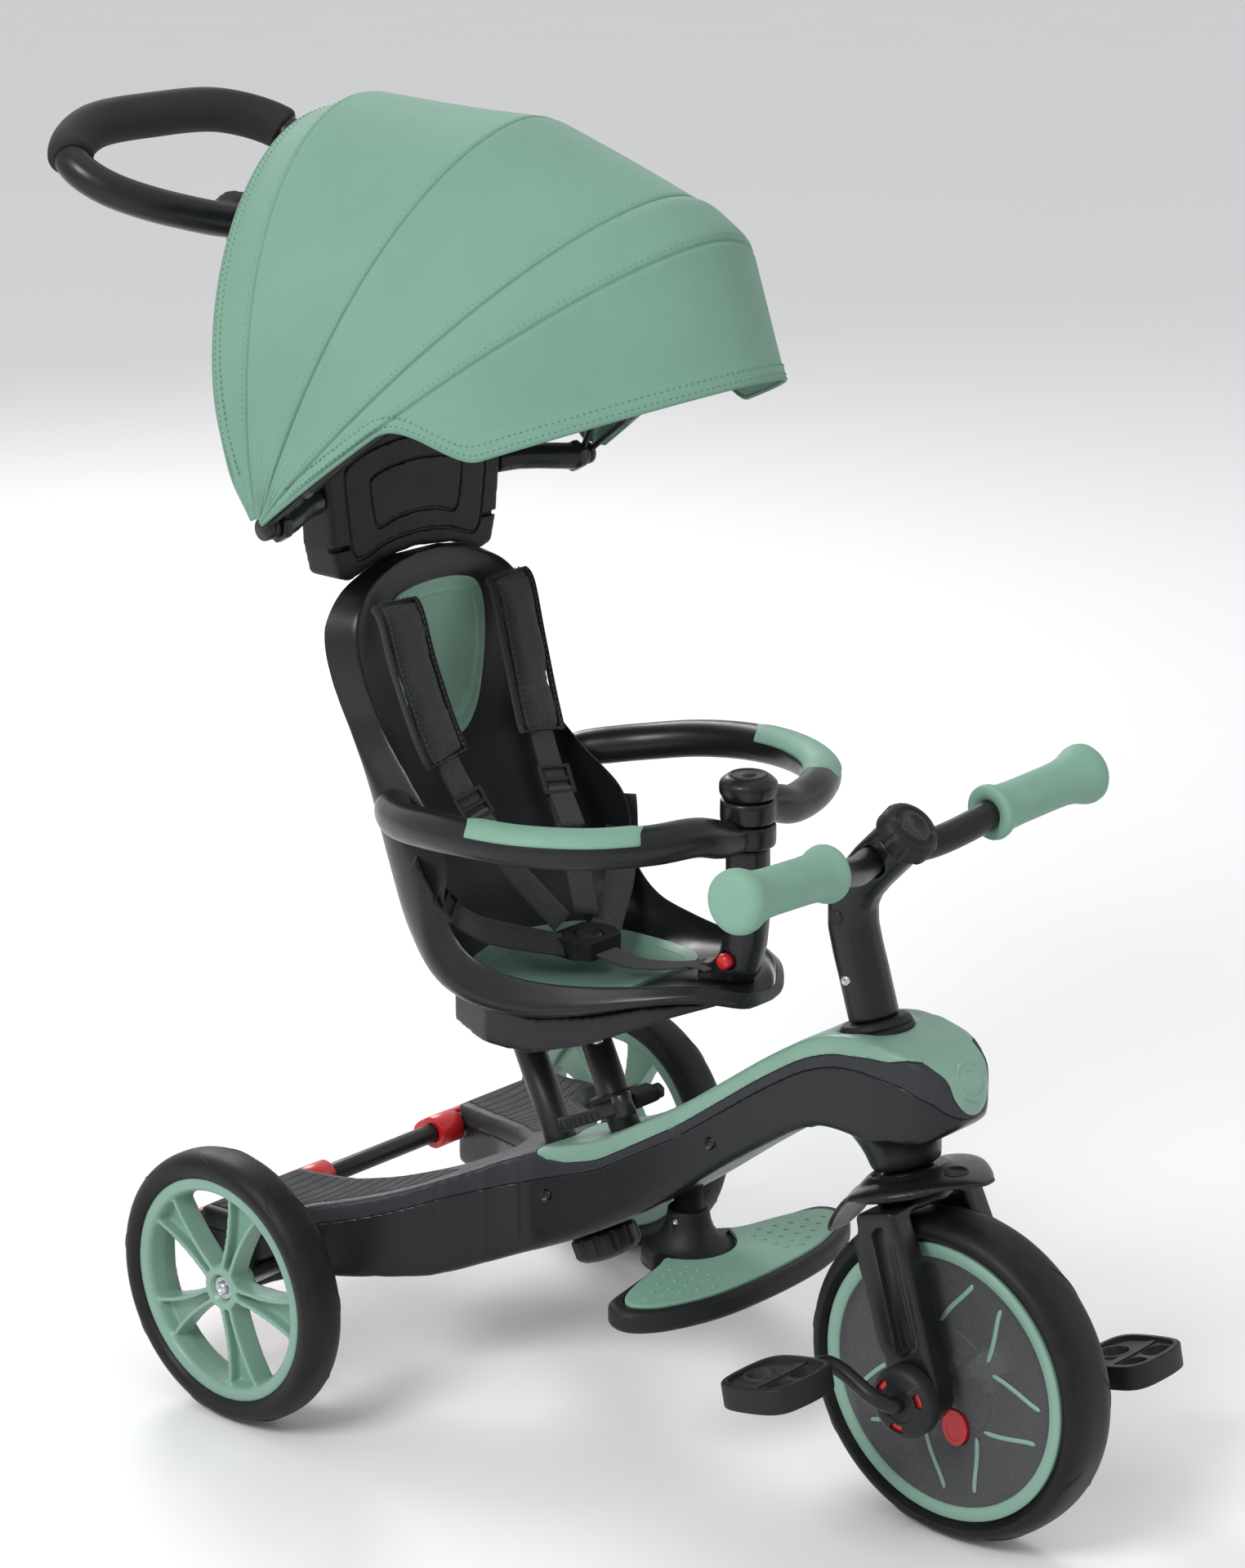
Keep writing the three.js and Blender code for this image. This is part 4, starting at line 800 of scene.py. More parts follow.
def make_brake():
    half = 158
    bar = lathe("brake_tube", [(0, -half), (7.2, -half), (8, -half + 0.8), (8, half - 0.8), (7.2, half),
                               (0, half)], at(0, *BRAKE_TUBE), (1, 0, 0), 48)
    finish_piece(bar, "brake", "black_metal", ["brake_cross_tube"])
    for side, sign in SIDES.items():
        outline = [(607, 139), (618, 136), (632, 128), (639, 122), (641.5, 117), (641, 111), (636, 108.5),
                   (620, 115), (607, 122)]
        low, high = sorted((sign * 81, sign * 195))
        paddle = prism(f"brake_paddle_{side}", smooth_outline(outline, 60), low, high, across)
        hub = lathe("hub", [(8.4, 0), (13, 0), (13.6, 0.8), (13.6, 25.2), (13, 26), (8.4, 26), (8.4, 0)],
                    at(sign * 74 - 13, *BRAKE_TUBE), (1, 0, 0), 48)
        carved(paddle, [hub], "UNION")
        ribs = []
        for i in range(13):
            x = sign * (92 + i * 8)
            slot = prism("rib", [(618, 160), (618, 135.2), (635, 125.2), (650, 115), (650, 160)],
                         x - 1.3, x + 1.3, across)
            ribs.append(slot)
        carved(paddle, ribs)
        bevelled(paddle, 0.7, 2, 40)
        finish_piece(paddle, "brake", "red", [f"brake_pedal_{side}"])


# ------------------------------------------------------------------ wheels
def crown_drop(share):
    """How far the tread has fallen at a share of the tyre's half width."""
    return TYRE_CROWN * (1 - math.sqrt(max(1 - share ** 2.6, 0)))


def tyre_profile(inner, outer, half):
    """Rounded tyre section, as (radius, height) points."""
    shoulder = []
    for t in np.linspace(-1, 1, 61):
        height = half * math.sin(t * math.pi / 2)
        shoulder.append((outer - crown_drop(abs(height / half)), height))
    low = [(inner, -half * 0.80), (inner + 5, -half * 0.97), (outer - 13, -half)]
    high = [(outer - 13, half), (inner + 5, half * 0.97), (inner, half * 0.80)]
    return low + shoulder + high + [low[0]]


def tread_marks(name, centre, radius, half, body, count):
    """Long curved tread lines over both shoulders of a tyre, as fine raised mouldings."""
    strokes = []
    for i in range(count):
        for sign in (-1, 1):
            start = 2 * math.pi * i / count + sign * 0.07
            path = []
            for t in np.linspace(0, 1, 14):
                share = 0.36 + 0.50 * math.sin(math.pi * t * 0.62)
                angle = start + 0.24 * t
                reach = radius - crown_drop(share)
                path.append(centre + Vector((sign * half * share, reach * math.cos(angle),
                                             reach * math.sin(angle))) * MM)

            def section(t):
                return circle(0.62 * math.sqrt(max(math.sin(math.pi * (0.02 + 0.96 * t)), 0.05)), 8)

            strokes.append(sweep("stroke", path, section))
    marks = joined(*strokes)
    marks.name = name
    finish_piece(marks, body, "tread", ())


def make_rear_wheels():
    for side, sign in SIDES.items():
        body = f"rear_wheel_{side}"
        centre = Vector((sign * REAR.x, REAR.y, REAR.z))
        out = (sign, 0, 0)
        tyre = lathe(f"{body}_tyre", tyre_profile(90, *REAR_TYRE), centre, out, 144)
        finish_piece(tyre, body, "tread", [f"rear_tyre_{side}"])
        tread_marks(f"{body}_marks", centre, *REAR_TYRE, body, 9)
        wheel = lathe(f"{body}_rim", [(79, -13), (90.5, -14), (90.5, 15.2), (82, 15.2), (79.5, 12),
                                      (77.5, 0), (79, -13)], centre, out, 120)
        hub = lathe("hub", [(0, -12), (16.5, -12), (17.5, 8), (17.5, 11.5), (0, 11.5)], centre, out, 60)
        carved(wheel, [hub], "UNION")
        for i in range(5):
            turn = Matrix.Rotation(math.radians(72 * i + 20), 3, "X")
            carved(wheel, spoke_parts(centre, turn, sign), "UNION")
        fused(wheel, 1.35, 5)
        well = lathe("well", [(0, 7.5), (11.5, 7.5), (11.5, 30), (0, 30)], centre, out, 48)
        carved(wheel, [well])
        finish_piece(wheel, body, "green", [f"rear_rim_{side}"])
        cap = lathe(f"{body}_cap", [(0, 6), (9.6, 6), (9.6, 8.2), (8.8, 9), (7.4, 9.2), (7.0, 8.6),
                                    (0, 8.6)], centre, out, 48)
        finish_piece(bevelled(cap, 0.3), body, "steel", ())
        screw(f"{body}_nut", centre + Vector((sign * 9 * MM, 0, 0)), out, body, 5.4, "steel", 3.0)


def spoke_parts(centre, turn, sign):
    """Two ribs that part towards the rim, and the web between them, for one spoke."""
    reaches = np.linspace(12, 83, 14)

    def offset(reach):
        return 4.6 + 12.5 * ((reach - 12) / 71) ** 2.4

    parts = []
    for way in (-1, 1):
        near = [(way * (offset(r) - 1.9), r) for r in reaches]
        far = [(way * (offset(r) + 1.9), r) for r in reversed(reaches)]
        parts.append(spoke_slab(centre, turn, sign, near + far, -8, 11.5))
    right = [(offset(r), r) for r in reaches]
    left = [(-offset(r), r) for r in reversed(reaches)]
    parts.append(spoke_slab(centre, turn, sign, right + left, -8, 1.5))
    return parts


def spoke_slab(centre, turn, sign, outline, low, high):
    def place(a, b, level):
        return centre + turn @ Vector((sign * level * MM, a * MM, b * MM))

    return prism("spoke", outline, low, high, place)


def make_front_wheel():
    body = "front_wheel"
    tyre = lathe("front_wheel_tyre", tyre_profile(107, *FRONT_TYRE), AXLE, (1, 0, 0), 160)
    finish_piece(tyre, body, "tread", ["front_tyre"])
    tread_marks("front_wheel_marks", AXLE, *FRONT_TYRE, body, 9)
    for side, sign in SIDES.items():
        out = (sign, 0, 0)
        shell = lathe(f"front_disc_{side}", [(8.6, 0), (8.6, 20), (24, 20), (28, 18.6), (44, 18.2),
                                             (44.6, 17.6), (60, 17.4), (88, 16.4), (93, 17.2),
                                             (95.6, 19.6), (102.5, 19.6), (103.6, 18), (103.6, 0),
                                             (8.6, 0)], AXLE, out, 160)
        stands = ["front_wheel_disc"] if side == "right" else []
        if side == "right":
            pocket = centre_of("clutch_button")
            carved(shell, [button_shape("pocket", pocket, 11.8, 14.8, 6, 30)])
        bevelled(shell, 0.6)
        finish_piece(shell, body, "grey", stands)
        ring = lathe(f"front_ring_{side}", [(95.8, 15), (95.8, 19.6), (96.8, 20.8), (105.4, 21.6),
                                            (106.4, 20.8), (106.4, 15), (95.8, 15)], AXLE, out, 160)
        finish_piece(ring, body, "green", ())
        marks = joined(*[accent_stroke(sign, i) for i in range(10)])
        marks.name = f"front_accents_{side}"
        finish_piece(marks, body, "green", ())


def accent_stroke(sign, index):
    """One slim curved green inlay on the face of the front wheel; they stand in five pairs."""
    way = 1 if index % 2 else -1
    middle = math.radians(43 + 72 * (index // 2))
    path = []
    for t in np.linspace(0, 1, 24):
        radius = 47 + 39 * t
        angle = middle + way * (0.165 + 0.36 * (1 - t) ** 1.5)
        level = float(np.interp(radius, [44, 60, 88], [17.6, 17.4, 16.4])) + 0.2
        path.append(AXLE + Vector((sign * level * MM, radius * math.cos(angle) * MM,
                                   radius * math.sin(angle) * MM)))

    def section(t):
        width = 1.75 * min(1, math.sqrt(max(1 - abs(2 * t - 1) ** 14, 0.03)))
        return [(0.3, -width), (0.6, -0.6 * width), (0.6, 0.6 * width), (0.3, width), (-1.2, width),
                (-1.2, -width)]

    return sweep("stroke", path, section, up=Vector((sign, 0, 0)))


def button_shape(name, centre, wide, tall, low, high):
    """An oval button whose face looks to the rider's right."""
    def place(a, b, level):
        return Vector((-level * MM, centre.y + a * MM, centre.z + b * MM))

    return prism(name, oval(wide, tall, 48), low, high, place)


def make_clutch_button():
    centre = centre_of("clutch_button")
    button = button_shape("clutch_oval", centre, 11, 14, 8, 21.2)
    dish = button_shape("dish", centre, 7.5, 10.5, 20.6, 30)
    carved(button, [dish])
    finish_piece(bevelled(button, 1.1, 3), "clutch_button", "red", ["clutch_button"])


# ------------------------------------------------------------------ steering
# Angle about the front axle in degrees, half width and radius.
FENDER_STATIONS = [(35.5, 9, 141), (40, 19, 143), (48, 24, 147), (56, 33, 150), (63, 45, 152),
                   (72, 54, 153), (82, 47, 154), (91, 27, 156), (98.5, 5, 158)]


def make_fork():
    skin = copy_of("fork")
    skin.name = "fork_skin"
    blocks = []
    for sign in SIDES.values():
        low, high = sorted((sign * 33, sign * 53))
        blocks.append(prism("fill", [(61, 232), (35, 150), (12, 153), (38, 243)], low, high, across))
    joined(skin, *blocks)
    fused(skin, 1.7, 26)
    slots = []
    for sign in SIDES.values():
        outline = slot_outline((32, 239), (11, 161), 9.0, 7.5)
        low, high = sorted((sign * 47.5, sign * 62))
        slots.append(prism("slot", outline, low, high, across))
    carved(skin, slots)
    bevelled(skin, 0.8, 2, 55)
    finish_piece(skin, "steering", "black", ["fork"])


def slot_outline(top, bottom, top_radius, bottom_radius):
    """A long slot with round ends between two (y, z) centres."""
    run = Vector((top[0] - bottom[0], top[1] - bottom[1])).normalized()
    lean = math.atan2(run.y, run.x)
    points = [(top[0] + top_radius * math.cos(lean + a), top[1] + top_radius * math.sin(lean + a))
              for a in np.linspace(-math.pi / 2, math.pi / 2, 14)]
    points += [(bottom[0] + bottom_radius * math.cos(lean + a),
                bottom[1] + bottom_radius * math.sin(lean + a))
               for a in np.linspace(math.pi / 2, 1.5 * math.pi, 14)]
    return points


def make_fender():
    rows = curve_points(FENDER_STATIONS, 44)
    points = []
    columns = 25
    for degrees, half, radius in rows:
        angle = math.radians(degrees)
        for u in np.linspace(-1, 1, columns):
            reach = radius - 7 * abs(u) ** 3 * half / 54
            x = half * math.sin(u * math.pi / 2)
            points.append(at(x, reach * math.cos(angle), AXLE_HEIGHT + reach * math.sin(angle)))
    faces = grid_faces(len(rows), columns)
    made = mesh_object("fender_skin", points, faces)
    thick = made.modifiers.new("wall", "SOLIDIFY")
    thick.thickness = 3.5 * MM
    thick.offset = 0
    applied(made)
    collar = lathe("collar", [(27.6, -0.2), (29, -0.6), (33, -3.2), (38, -7), (46, -11.5), (46, -16),
                              (27.6, -16), (27.6, -0.2)], on_steering(0), STEER, 96)
    carved(made, [collar], "UNION")
    fused(made, 1.4, 9)
    finish_piece(made, "steering", "black", ["fender"])
    angle = math.radians(87.6)
    axis = Vector((0, math.cos(angle), math.sin(angle)))
    centre = at(0, 155.5 * math.cos(angle), AXLE_HEIGHT + 155.5 * math.sin(angle))
    plug = lathe("fender_plug", [(0, -2), (9, -2), (9, 2.4), (8, 3.0), (6.6, 2.6), (6.2, 2.1),
                                 (0, 2.1)], centre, axis, 48)
    finish_piece(plug, "steering", "black_grained", ())


def grid_faces(rows, columns, start=0):
    faces = []
    for i in range(rows - 1):
        for j in range(columns - 1):
            a = start + i * columns + j
            faces.append((a, a + 1, a + columns + 1, a + columns))
    return faces


def make_stem():
    moulding("stem_skin", "stem", "steering", "black", 1.6, 8)
    plug = lathe("stem_plug", [(0, -4), (5.5, -4), (5.5, 1.2), (4.6, 2), (0, 2)],
                 at(-18.5, 107, 457), (-1, 0, 0.1), 32)
    finish_piece(plug, "steering", "black_grained", ())
    screw("stem_screw", at(-18.6, 96.5, 411), (-1, -0.1, 0), "steering", 4, "steel", 2)


BAR_HALF = [(14, 80, 504), (45, 68, 507), (78, 58, 515), (112, 54, 523), (197, 48, 528)]
GRIP_END = [(16.8, -46), (17.2, -34), (18.6, -24), (21, -17), (22.6, -12), (23, -8.5), (22.4, -5),
            (20, -2), (15, -0.3), (8, 0.4), (0, 0.4)]


def make_handlebar():
    other = [(-x, y, z) for x, y, z in reversed(BAR_HALF)]
    bar = pipe("handlebar_tube", other + BAR_HALF, 10.9, 80, 32)
    finish_piece(bar, "steering", "black_metal", ["handlebar"])
    for side, sign in SIDES.items():
        inner = at(sign * 92, 56, 520)
        outer = at(sign * 206, 47.5, 528.4)
        length = (outer - inner).length / MM
        profile = [(0, 0.6), (11.2, 0.6), (11.4, 0), (19, 0), (20.6, 1.2), (21, 3.5), (20.4, 6.5),
                   (18.8, 10), (17.4, 16), (16.8, 30)]
        profile += [(radius, length + gap) for radius, gap in GRIP_END]
        grip = lathe(f"grip_skin_{side}", profile, inner, outer - inner, 72)
        finish_piece(grip, "steering", "grip", [f"grip_{side}"])


def make_bar_knob():
    lift = math.radians(46)
    axis = Vector((0, -math.cos(lift), math.sin(lift)))
    centre = at(0, 80, 504) + axis * 22 * MM
    profile = [(0, -9), (7, -9), (7, 1.4), (20.4, 1.4), (22.6, 3), (23, 5), (23, 13), (21.5, 16),
               (19, 18.4), (16.5, 19), (15.6, 17.8), (14.6, 17.8), (13.8, 18.7), (0, 18.7)]
    knob = lathe("bar_knob_skin", profile, centre, axis, 96)
    notched(knob, 10, 25.2, 4.2, 24, 24, centre, axis)
    bevelled(knob, 0.7, 2, 40)
    finish_piece(knob, "bar_knob", "black_grained", ["handlebar_knob"])
    disc = lathe("bar_knob_disc", [(0, 18), (12.4, 18), (12.4, 19.2), (11.6, 19.8), (8.4, 19.8),
                                   (8, 19.2), (0, 19.2)], centre, axis, 64)
    finish_piece(disc, "bar_knob", "black", ())


CRANK_TILT = math.radians(28)


def crank_point(sign, x, reach):
    back, lift = -sign * reach * math.cos(CRANK_TILT), -sign * reach * math.sin(CRANK_TILT)
    return (sign * x, back, AXLE_HEIGHT + lift)


def make_crankset():
    axle = lathe("crank_axle", [(0, -60), (8, -60), (8, 60), (0, 60)], AXLE, (1, 0, 0), 40)
    finish_piece(axle, "crankset", "steel", ["crankset"])
    for side, sign in SIDES.items():
        stations = [(62, 0), (70, 0.6), (77, 3), (84, 14), (86, 30), (88, 45), (94, 55),
                    (108, CRANK_REACH)]
        arm = pipe(f"crank_arm_{side}", [crank_point(sign, x, r) for x, r in stations], 6, 60, 28)
        finish_piece(arm, "crankset", "black_metal", ())
        tip = at(*crank_point(sign, 104, CRANK_REACH))
        spindle = lathe(f"crank_spindle_{side}", [(0, 0), (5, 0), (5, 69), (4.4, 70), (0, 70)], tip,
                        (sign, 0, 0), 32)
        finish_piece(spindle, "crankset", "steel", ())
        hub = AXLE + Vector((sign * 55 * MM, 0, 0))
        cover = lathe(f"crank_cover_{side}", [(0, 0), (25, 0), (27, 2), (27, 11), (25.5, 14),
                                              (21.5, 16), (14, 16.6), (13, 15.4), (0, 15.4)],
                      hub, (sign, 0, 0), 96)
        carved(cover, [ring_window(hub, sign, 2 * math.pi * i / 3 + 0.6) for i in range(3)])
        bevelled(cover, 0.5, 2, 40)
        finish_piece(cover, "crankset", "black_grained", ())
        insert = lathe(f"crank_insert_{side}", [(15, 2), (23, 2), (23, 13.5), (15, 14), (15, 2)],
                       hub, (sign, 0, 0), 72)
        finish_piece(insert, "crankset", "red", ())


def ring_window(centre, sign, angle):
    """A curved window in the face of a crank cover."""
    outline = []
    for radius, turns in ((21.6, np.linspace(-0.30, 0.30, 10)), (15.8, np.linspace(0.26, -0.26, 10))):
        outline += [(radius * math.cos(angle + t), radius * math.sin(angle + t)) for t in turns]

    def place(a, b, level):
        return centre + Vector((sign * level * MM, a * MM, b * MM))

    return prism("window", outline, 8, 24, place)


def barrel(half_long, half_wide, bulge, steps=48):
    """A rectangle with round corners whose sides bow outwards."""
    points = []
    for t in np.linspace(0, 2 * math.pi, steps, False):
        a, b = math.cos(t), math.sin(t)
        scale = (abs(a) ** 6 + abs(b) ** 6) ** (-1 / 6)
        x, y = a * scale, b * scale
        points.append((x * (half_long - bulge * y * y), y * (half_wide - bulge * x * x)))
    return points


def make_pedals():
    tilt = Matrix.Rotation(math.radians(-12), 3, "X")
    for side, sign in SIDES.items():
        centre = at(*crank_point(sign, PEDAL_X, CRANK_REACH))

        def place(a, b, level, centre=centre):
            return centre + tilt @ Vector((a * MM, b * MM, level * MM))

        pedal = prism(f"pedal_body_{side}", barrel(36, 33, 3.5, 96), -9.5, 9.5, place)
        bevelled(pedal, 1.8, 4, 50)
        inside = barrel(31.5, 28.5, 3, 96)
        cutters = []
        for face in (-1, 1):
            low, high = sorted((face * 6.0, face * 14))
            cutters.append(prism("dish", inside, low, high, place))
        cutters.append(prism("round", circle(11.5, 40), -20, 20,
                             lambda a, b, level: place(a, b + 13, level)))
        for middle in (-14, 14):
            outline = [(a + middle, b - 14.5) for a, b in barrel(11.5, 8.5, 1.5, 40)]
            cutters.append(prism("window", outline, -20, 20, place))
        carved(pedal, cutters)
        ring = lathe("lip", [(11.5, -7.6), (14.2, -7.6), (14.2, 7.6), (11.5, 7.6), (11.5, -7.6)],
                     place(0, 13, 0), tilt @ Vector((0, 0, 1)), 48)
        bar = prism("bar", [(a, b - 1.5) for a, b in barrel(31, 3.4, 0.6, 40)], -7.4, 7.4, place)
        carved(pedal, [ring], "UNION")
        carved(pedal, [bar], "UNION")
        hole = lathe("hole", [(0, -20), (11.5, -20), (11.5, 20), (0, 20)], place(0, 13, 0),
                     tilt @ Vector((0, 0, 1)), 48)
        carved(pedal, [hole])
        bevelled(pedal, 0.5, 2, 50)
        finish_piece(pedal, f"pedal_{side}", "black_grained", [f"pedal_{side}"])


# ------------------------------------------------------------------ seat
# The seat's inner surface from front to top: y, z, half width, rise of the sides, lean in degrees.
SEAT_STATIONS = [
    (193, 376, 18, 2, 10), (216, 379, 42, 6, 8), (252, 373, 66, 10, 4), (298, 358, 86, 20, 0),
    (345, 347, 99, 30, 0), (392, 345, 104, 40, 6), (432, 352, 105, 62, 18), (468, 382, 103, 82, 42),
    (494, 432, 98, 80, 62), (512, 488, 90, 52, 76), (520, 536, 87, 22, 83), (523, 580, 94, 12, 85),
    (526, 612, 92, 9, 85), (529, 636, 74, 6, 85), (532, 650, 42, 3, 85)]
WRAP_SHARE = [(200, 0), (345, 0.7), (430, 1), (526, 1), (532, 0.5)]
SEAT_OUTLINE = [(0, 296), (28, 292), (50, 298), (68, 318), (79, 350), (80, 385), (72, 414), (56, 434),
                (0, 444)]
BACK_OUTLINE = [(0, 506), (22, 512), (38, 534), (47, 570), (50, 604), (44, 624), (26, 631), (0, 633)]
SHELL_THICKNESS = 11


def seat_surface(outward, rows, columns):
    """Points on the seat, pushed out from its inner surface by a distance."""
    return [at(*seat_station_point(station, u, outward)) for station in curve_points(SEAT_STATIONS, rows)
            for u in np.linspace(-1, 1, columns)]


def seat_wall(name, inner, outer, rows=90, columns=61):
    first = seat_surface(inner, rows, columns)
    second = seat_surface(outer, rows, columns)
    count = len(first)
    faces = [tuple(reversed(f)) for f in grid_faces(rows, columns)] + grid_faces(rows, columns, count)
    border = ([j for j in range(columns)] + [i * columns + columns - 1 for i in range(1, rows)]
              + [(rows - 1) * columns + j for j in range(columns - 2, -1, -1)]
              + [i * columns for i in range(rows - 2, 0, -1)])
    for a, b in zip(border, border[1:] + border[:1]):
        faces.append((a, b, b + count, a + count))
    return mesh_object(name, first + second, faces)


def seat_ring(station, count=280):
    """The closed outline of the shell across one station: inner face, rounded rims, outer face."""
    inner = [seat_station_point(station, u, 0) for u in np.linspace(0, 1, 60)]
    outer = [seat_station_point(station, u, SHELL_THICKNESS) for u in np.linspace(1, -1, 119)]
    back = [seat_station_point(station, u, 0) for u in np.linspace(-1, 0, 60)]
    loop = np.array(inner + outer + back)
    run = np.concatenate([[0], np.cumsum(np.linalg.norm(np.diff(loop, axis=0), axis=1))])
    places = np.linspace(0, run[-1], count, endpoint=False)
    ring = np.stack([np.interp(places, run, loop[:, k]) for k in range(3)], axis=1)
    for _ in range(7):
        ring = ring * 0.5 + (np.roll(ring, 1, axis=0) + np.roll(ring, -1, axis=0)) * 0.25
    return ring


def seat_station_point(station, u, outward):
    y, z, half, rise, degrees = station
    lean = math.radians(degrees)
    normal = np.array([0, -math.sin(lean), math.cos(lean)])
    wrap = 24 * max(outward / SHELL_THICKNESS, 0) * line_height(WRAP_SHARE, y)
    lift = rise * abs(u) ** 3.2
    sink = outward * (1 - 0.5 * abs(u) ** 4) + wrap * abs(u) ** 4
    point = np.array([math.sin(u * math.pi / 2) * (half + outward), y, z])
    return point + normal * (lift - sink)


def make_seat_shell():
    stations = [(190, 374.6, 8, 1, 10), *SEAT_STATIONS, (532.8, 655, 14, 1, 85)]
    rows = curve_points(stations, 120)
    rings = [seat_ring(row) for row in rows]
    count = len(rings[0])
    points = [at(*p) for ring in rings for p in ring]
    faces = []
    for i in range(len(rings) - 1):
        for j in range(count):
            k = (j + 1) % count
            faces.append((i * count + j, i * count + k, (i + 1) * count + k, (i + 1) * count + j))
    faces.append(tuple(range(count - 1, -1, -1)))
    faces.append(tuple((len(rings) - 1) * count + j for j in range(count)))
    shell = mesh_object("seat_shell_skin", points, faces)
    bevelled(shell, 1.5, 3, 60)
    finish_piece(shell, "seat", "black", ["seat_shell"])


def make_seat_inserts():
    skin = seat_wall("skin", -2.6, 1.5, 110, 81)
    for name, outline, low, high, place in (("seat_insert", SEAT_OUTLINE, 300, 480, upward),
                                            ("backrest_insert", BACK_OUTLINE, 440, 560, backward)):
        shape = prism(name + "_skin", smooth_outline(mirrored(outline), 96), low, high, place)
        made = carved(shape, [duplicate(skin, "part")], "INTERSECT")
        carved(made, [insert_groove(outline, name == "backrest_insert")])
        bevelled(made, 0.9, 3, 40)
        made.data.shade_smooth()
        finish_piece(made, "seat", "green", [name])
    bpy.data.objects.remove(skin)


def insert_groove(half, is_back):
    """A shallow groove that follows the outline of an insert, a little inside it."""
    outline = np.array(mirrored(half))
    middle = np.mean(outline, axis=0)
    loop = curve_points(middle + (outline - middle) * (0.80 if is_back else 0.86), 140, closed=True)
    ribbon = [seat_point(a, b, is_back, 3.0) for a, b in loop]
    return sweep("groove", ribbon, lambda t: circle(0.85, 8), closed=True, up=Vector((0, 0.3, 1)))


def seat_point(x, along, is_back, lift):
    """A point lifted off the seat's inner surface; along is y on the seat, z on the back."""
    stations = curve_points(SEAT_STATIONS, 240)
    key = stations[:, 1] if is_back else stations[:, 0]
    picks = np.where(stations[:, 0] > 470 if is_back else stations[:, 0] < 470)[0]
    nearest = picks[np.argmin(np.abs(key[picks] - along))]
    y, z, half, rise, degrees = stations[nearest]
    lean = math.radians(degrees)
    u = math.asin(max(-1, min(1, x / half))) * 2 / math.pi
    height = rise * abs(u) ** 3.2 + lift
    if is_back:
        return at(x, y - math.sin(lean) * height, along + math.cos(lean) * (height - lift))
    return at(x, along - math.sin(lean) * height, z + math.cos(lean) * height)


def make_seat_base():
    skin = softened("seat_base_skin", ["seat_base_cover"], 2.0, 9)
    rims = [lathe("rim", [(0, -10), (15.4, -10), (15.4, 14), (0, 14)], post_point(y, reach), POST, 48)
            for y, reach in ((FRONT_POST_Y, 66), (REAR_POST_Y, 85))]
    carved(skin, rims)
    finish_piece(skin, "seat", "black", ["seat_base_cover"])
    for i, (x, y, z) in enumerate([(-62, 300, 325), (62, 300, 325), (-66, 425, 309), (66, 425, 309)]):
        screw(f"seat_base_screw_{i}", at(x, y, z), (0, -0.2, -1), "seat", 4.2, "steel", 2)


def post_point(y, distance):
    return at(0, y, line_height(TOP_LINE, y)) + POST * distance * MM


def make_seat_posts():
    for end, y, top in (("front", FRONT_POST_Y, 95.5), ("rear", REAR_POST_Y, 107.5)):
        post = lathe(f"post_{end}", [(0, -38), (11.8, -38), (12.5, -37), (12.5, top), (0, top)],
                     post_point(y, 0), POST, 64)
        finish_piece(post, "seat", "black_metal", [f"seat_post_{end}"])


def make_seat_clamp():
    collar = softened("clamp_skin", ["seat_clamp_collar"], 1.0, 3)
    ring = post_point(FRONT_POST_Y, 12)
    lines = [lathe("line", [(19.2, h), (24, h), (24, h + 1.2), (19.2, h + 1.2), (19.2, h)],
                   ring, POST, 48) for h in (5, 11)]
    carved(collar, lines)
    finish_piece(collar, "frame", "black_grained", ["seat_clamp_collar"])
    pivot = Vector((-22, 309.2, 259.1))
    stations = [tuple(pivot), (-28, pivot.y + 18, pivot.z - 10), (-31, pivot.y + 42, pivot.z - 22),
                (-29, pivot.y + 58, pivot.z - 30)]
    path = [at(*p) for p in curve_points(stations, 40)]

    def section(t):
        return squared_oval(2.9, 4.6 + 1.4 * t, 0.6, 0.6, 24)

    arm = sweep("lever_skin", path, section, up=Vector((1, 0, 0)))
    cam = lathe("cam", [(0, -9), (7.2, -9), (8, -8), (8, 8), (7.2, 9), (0, 9)], at(*pivot), POST, 48)
    carved(arm, [cam], "UNION")
    ridges = []
    for i in range(14, 36, 3):
        ridges.append(lathe("ridge", [(0, -8), (0.8, -8), (0.8, 8), (0, 8)],
                            path[i] + Vector((-3.1 * MM, 0, 0)), POST, 12))
    carved(arm, ridges)
    finish_piece(arm, "clamp_lever", "black", ["seat_clamp_lever"])


def make_axles():
    for side, sign in SIDES.items():
        start = Vector((sign * 152 * MM, REAR.y, REAR.z))
        axle = lathe(f"axle_{side}", [(0, 0), (6, 0), (6, 79.4), (9, 79.4), (9, 80.6), (7.5, 81.4),
                                      (0, 81.4)], start, (sign, 0, 0), 40)
        finish_piece(axle, "frame", "steel", [f"rear_axle_{side}"])


# ------------------------------------------------------------------ soft goods helpers
def lay_strip_uv(made, size):
    """UV in metres for a sweep whose rings have size points: v along it, u round its section."""
    mesh = made.data
    coords = np.array([v.co for v in mesh.vertices])
    rings = len(coords) // size
    centres = coords[:rings * size].reshape(rings, size, 3).mean(axis=1)
    run = np.concatenate([[0], np.cumsum(np.linalg.norm(np.diff(centres, axis=0), axis=1))])
    first = coords[:size]
    around = np.concatenate([[0], np.cumsum(np.linalg.norm(np.diff(first, axis=0), axis=1))])
    layer = mesh.uv_layers.new(name="cloth")
    for loop in mesh.loops:
        index = loop.vertex_index
        layer.data[loop.index].uv = (around[index % size], run[min(index // size, rings - 1)])
    return made


def flat_section(width, thickness):
    """A strip's section: nearly flat faces and rounded edges."""
    return squared_oval(width / 2, thickness / 2, 0.4, 0.7, 40)


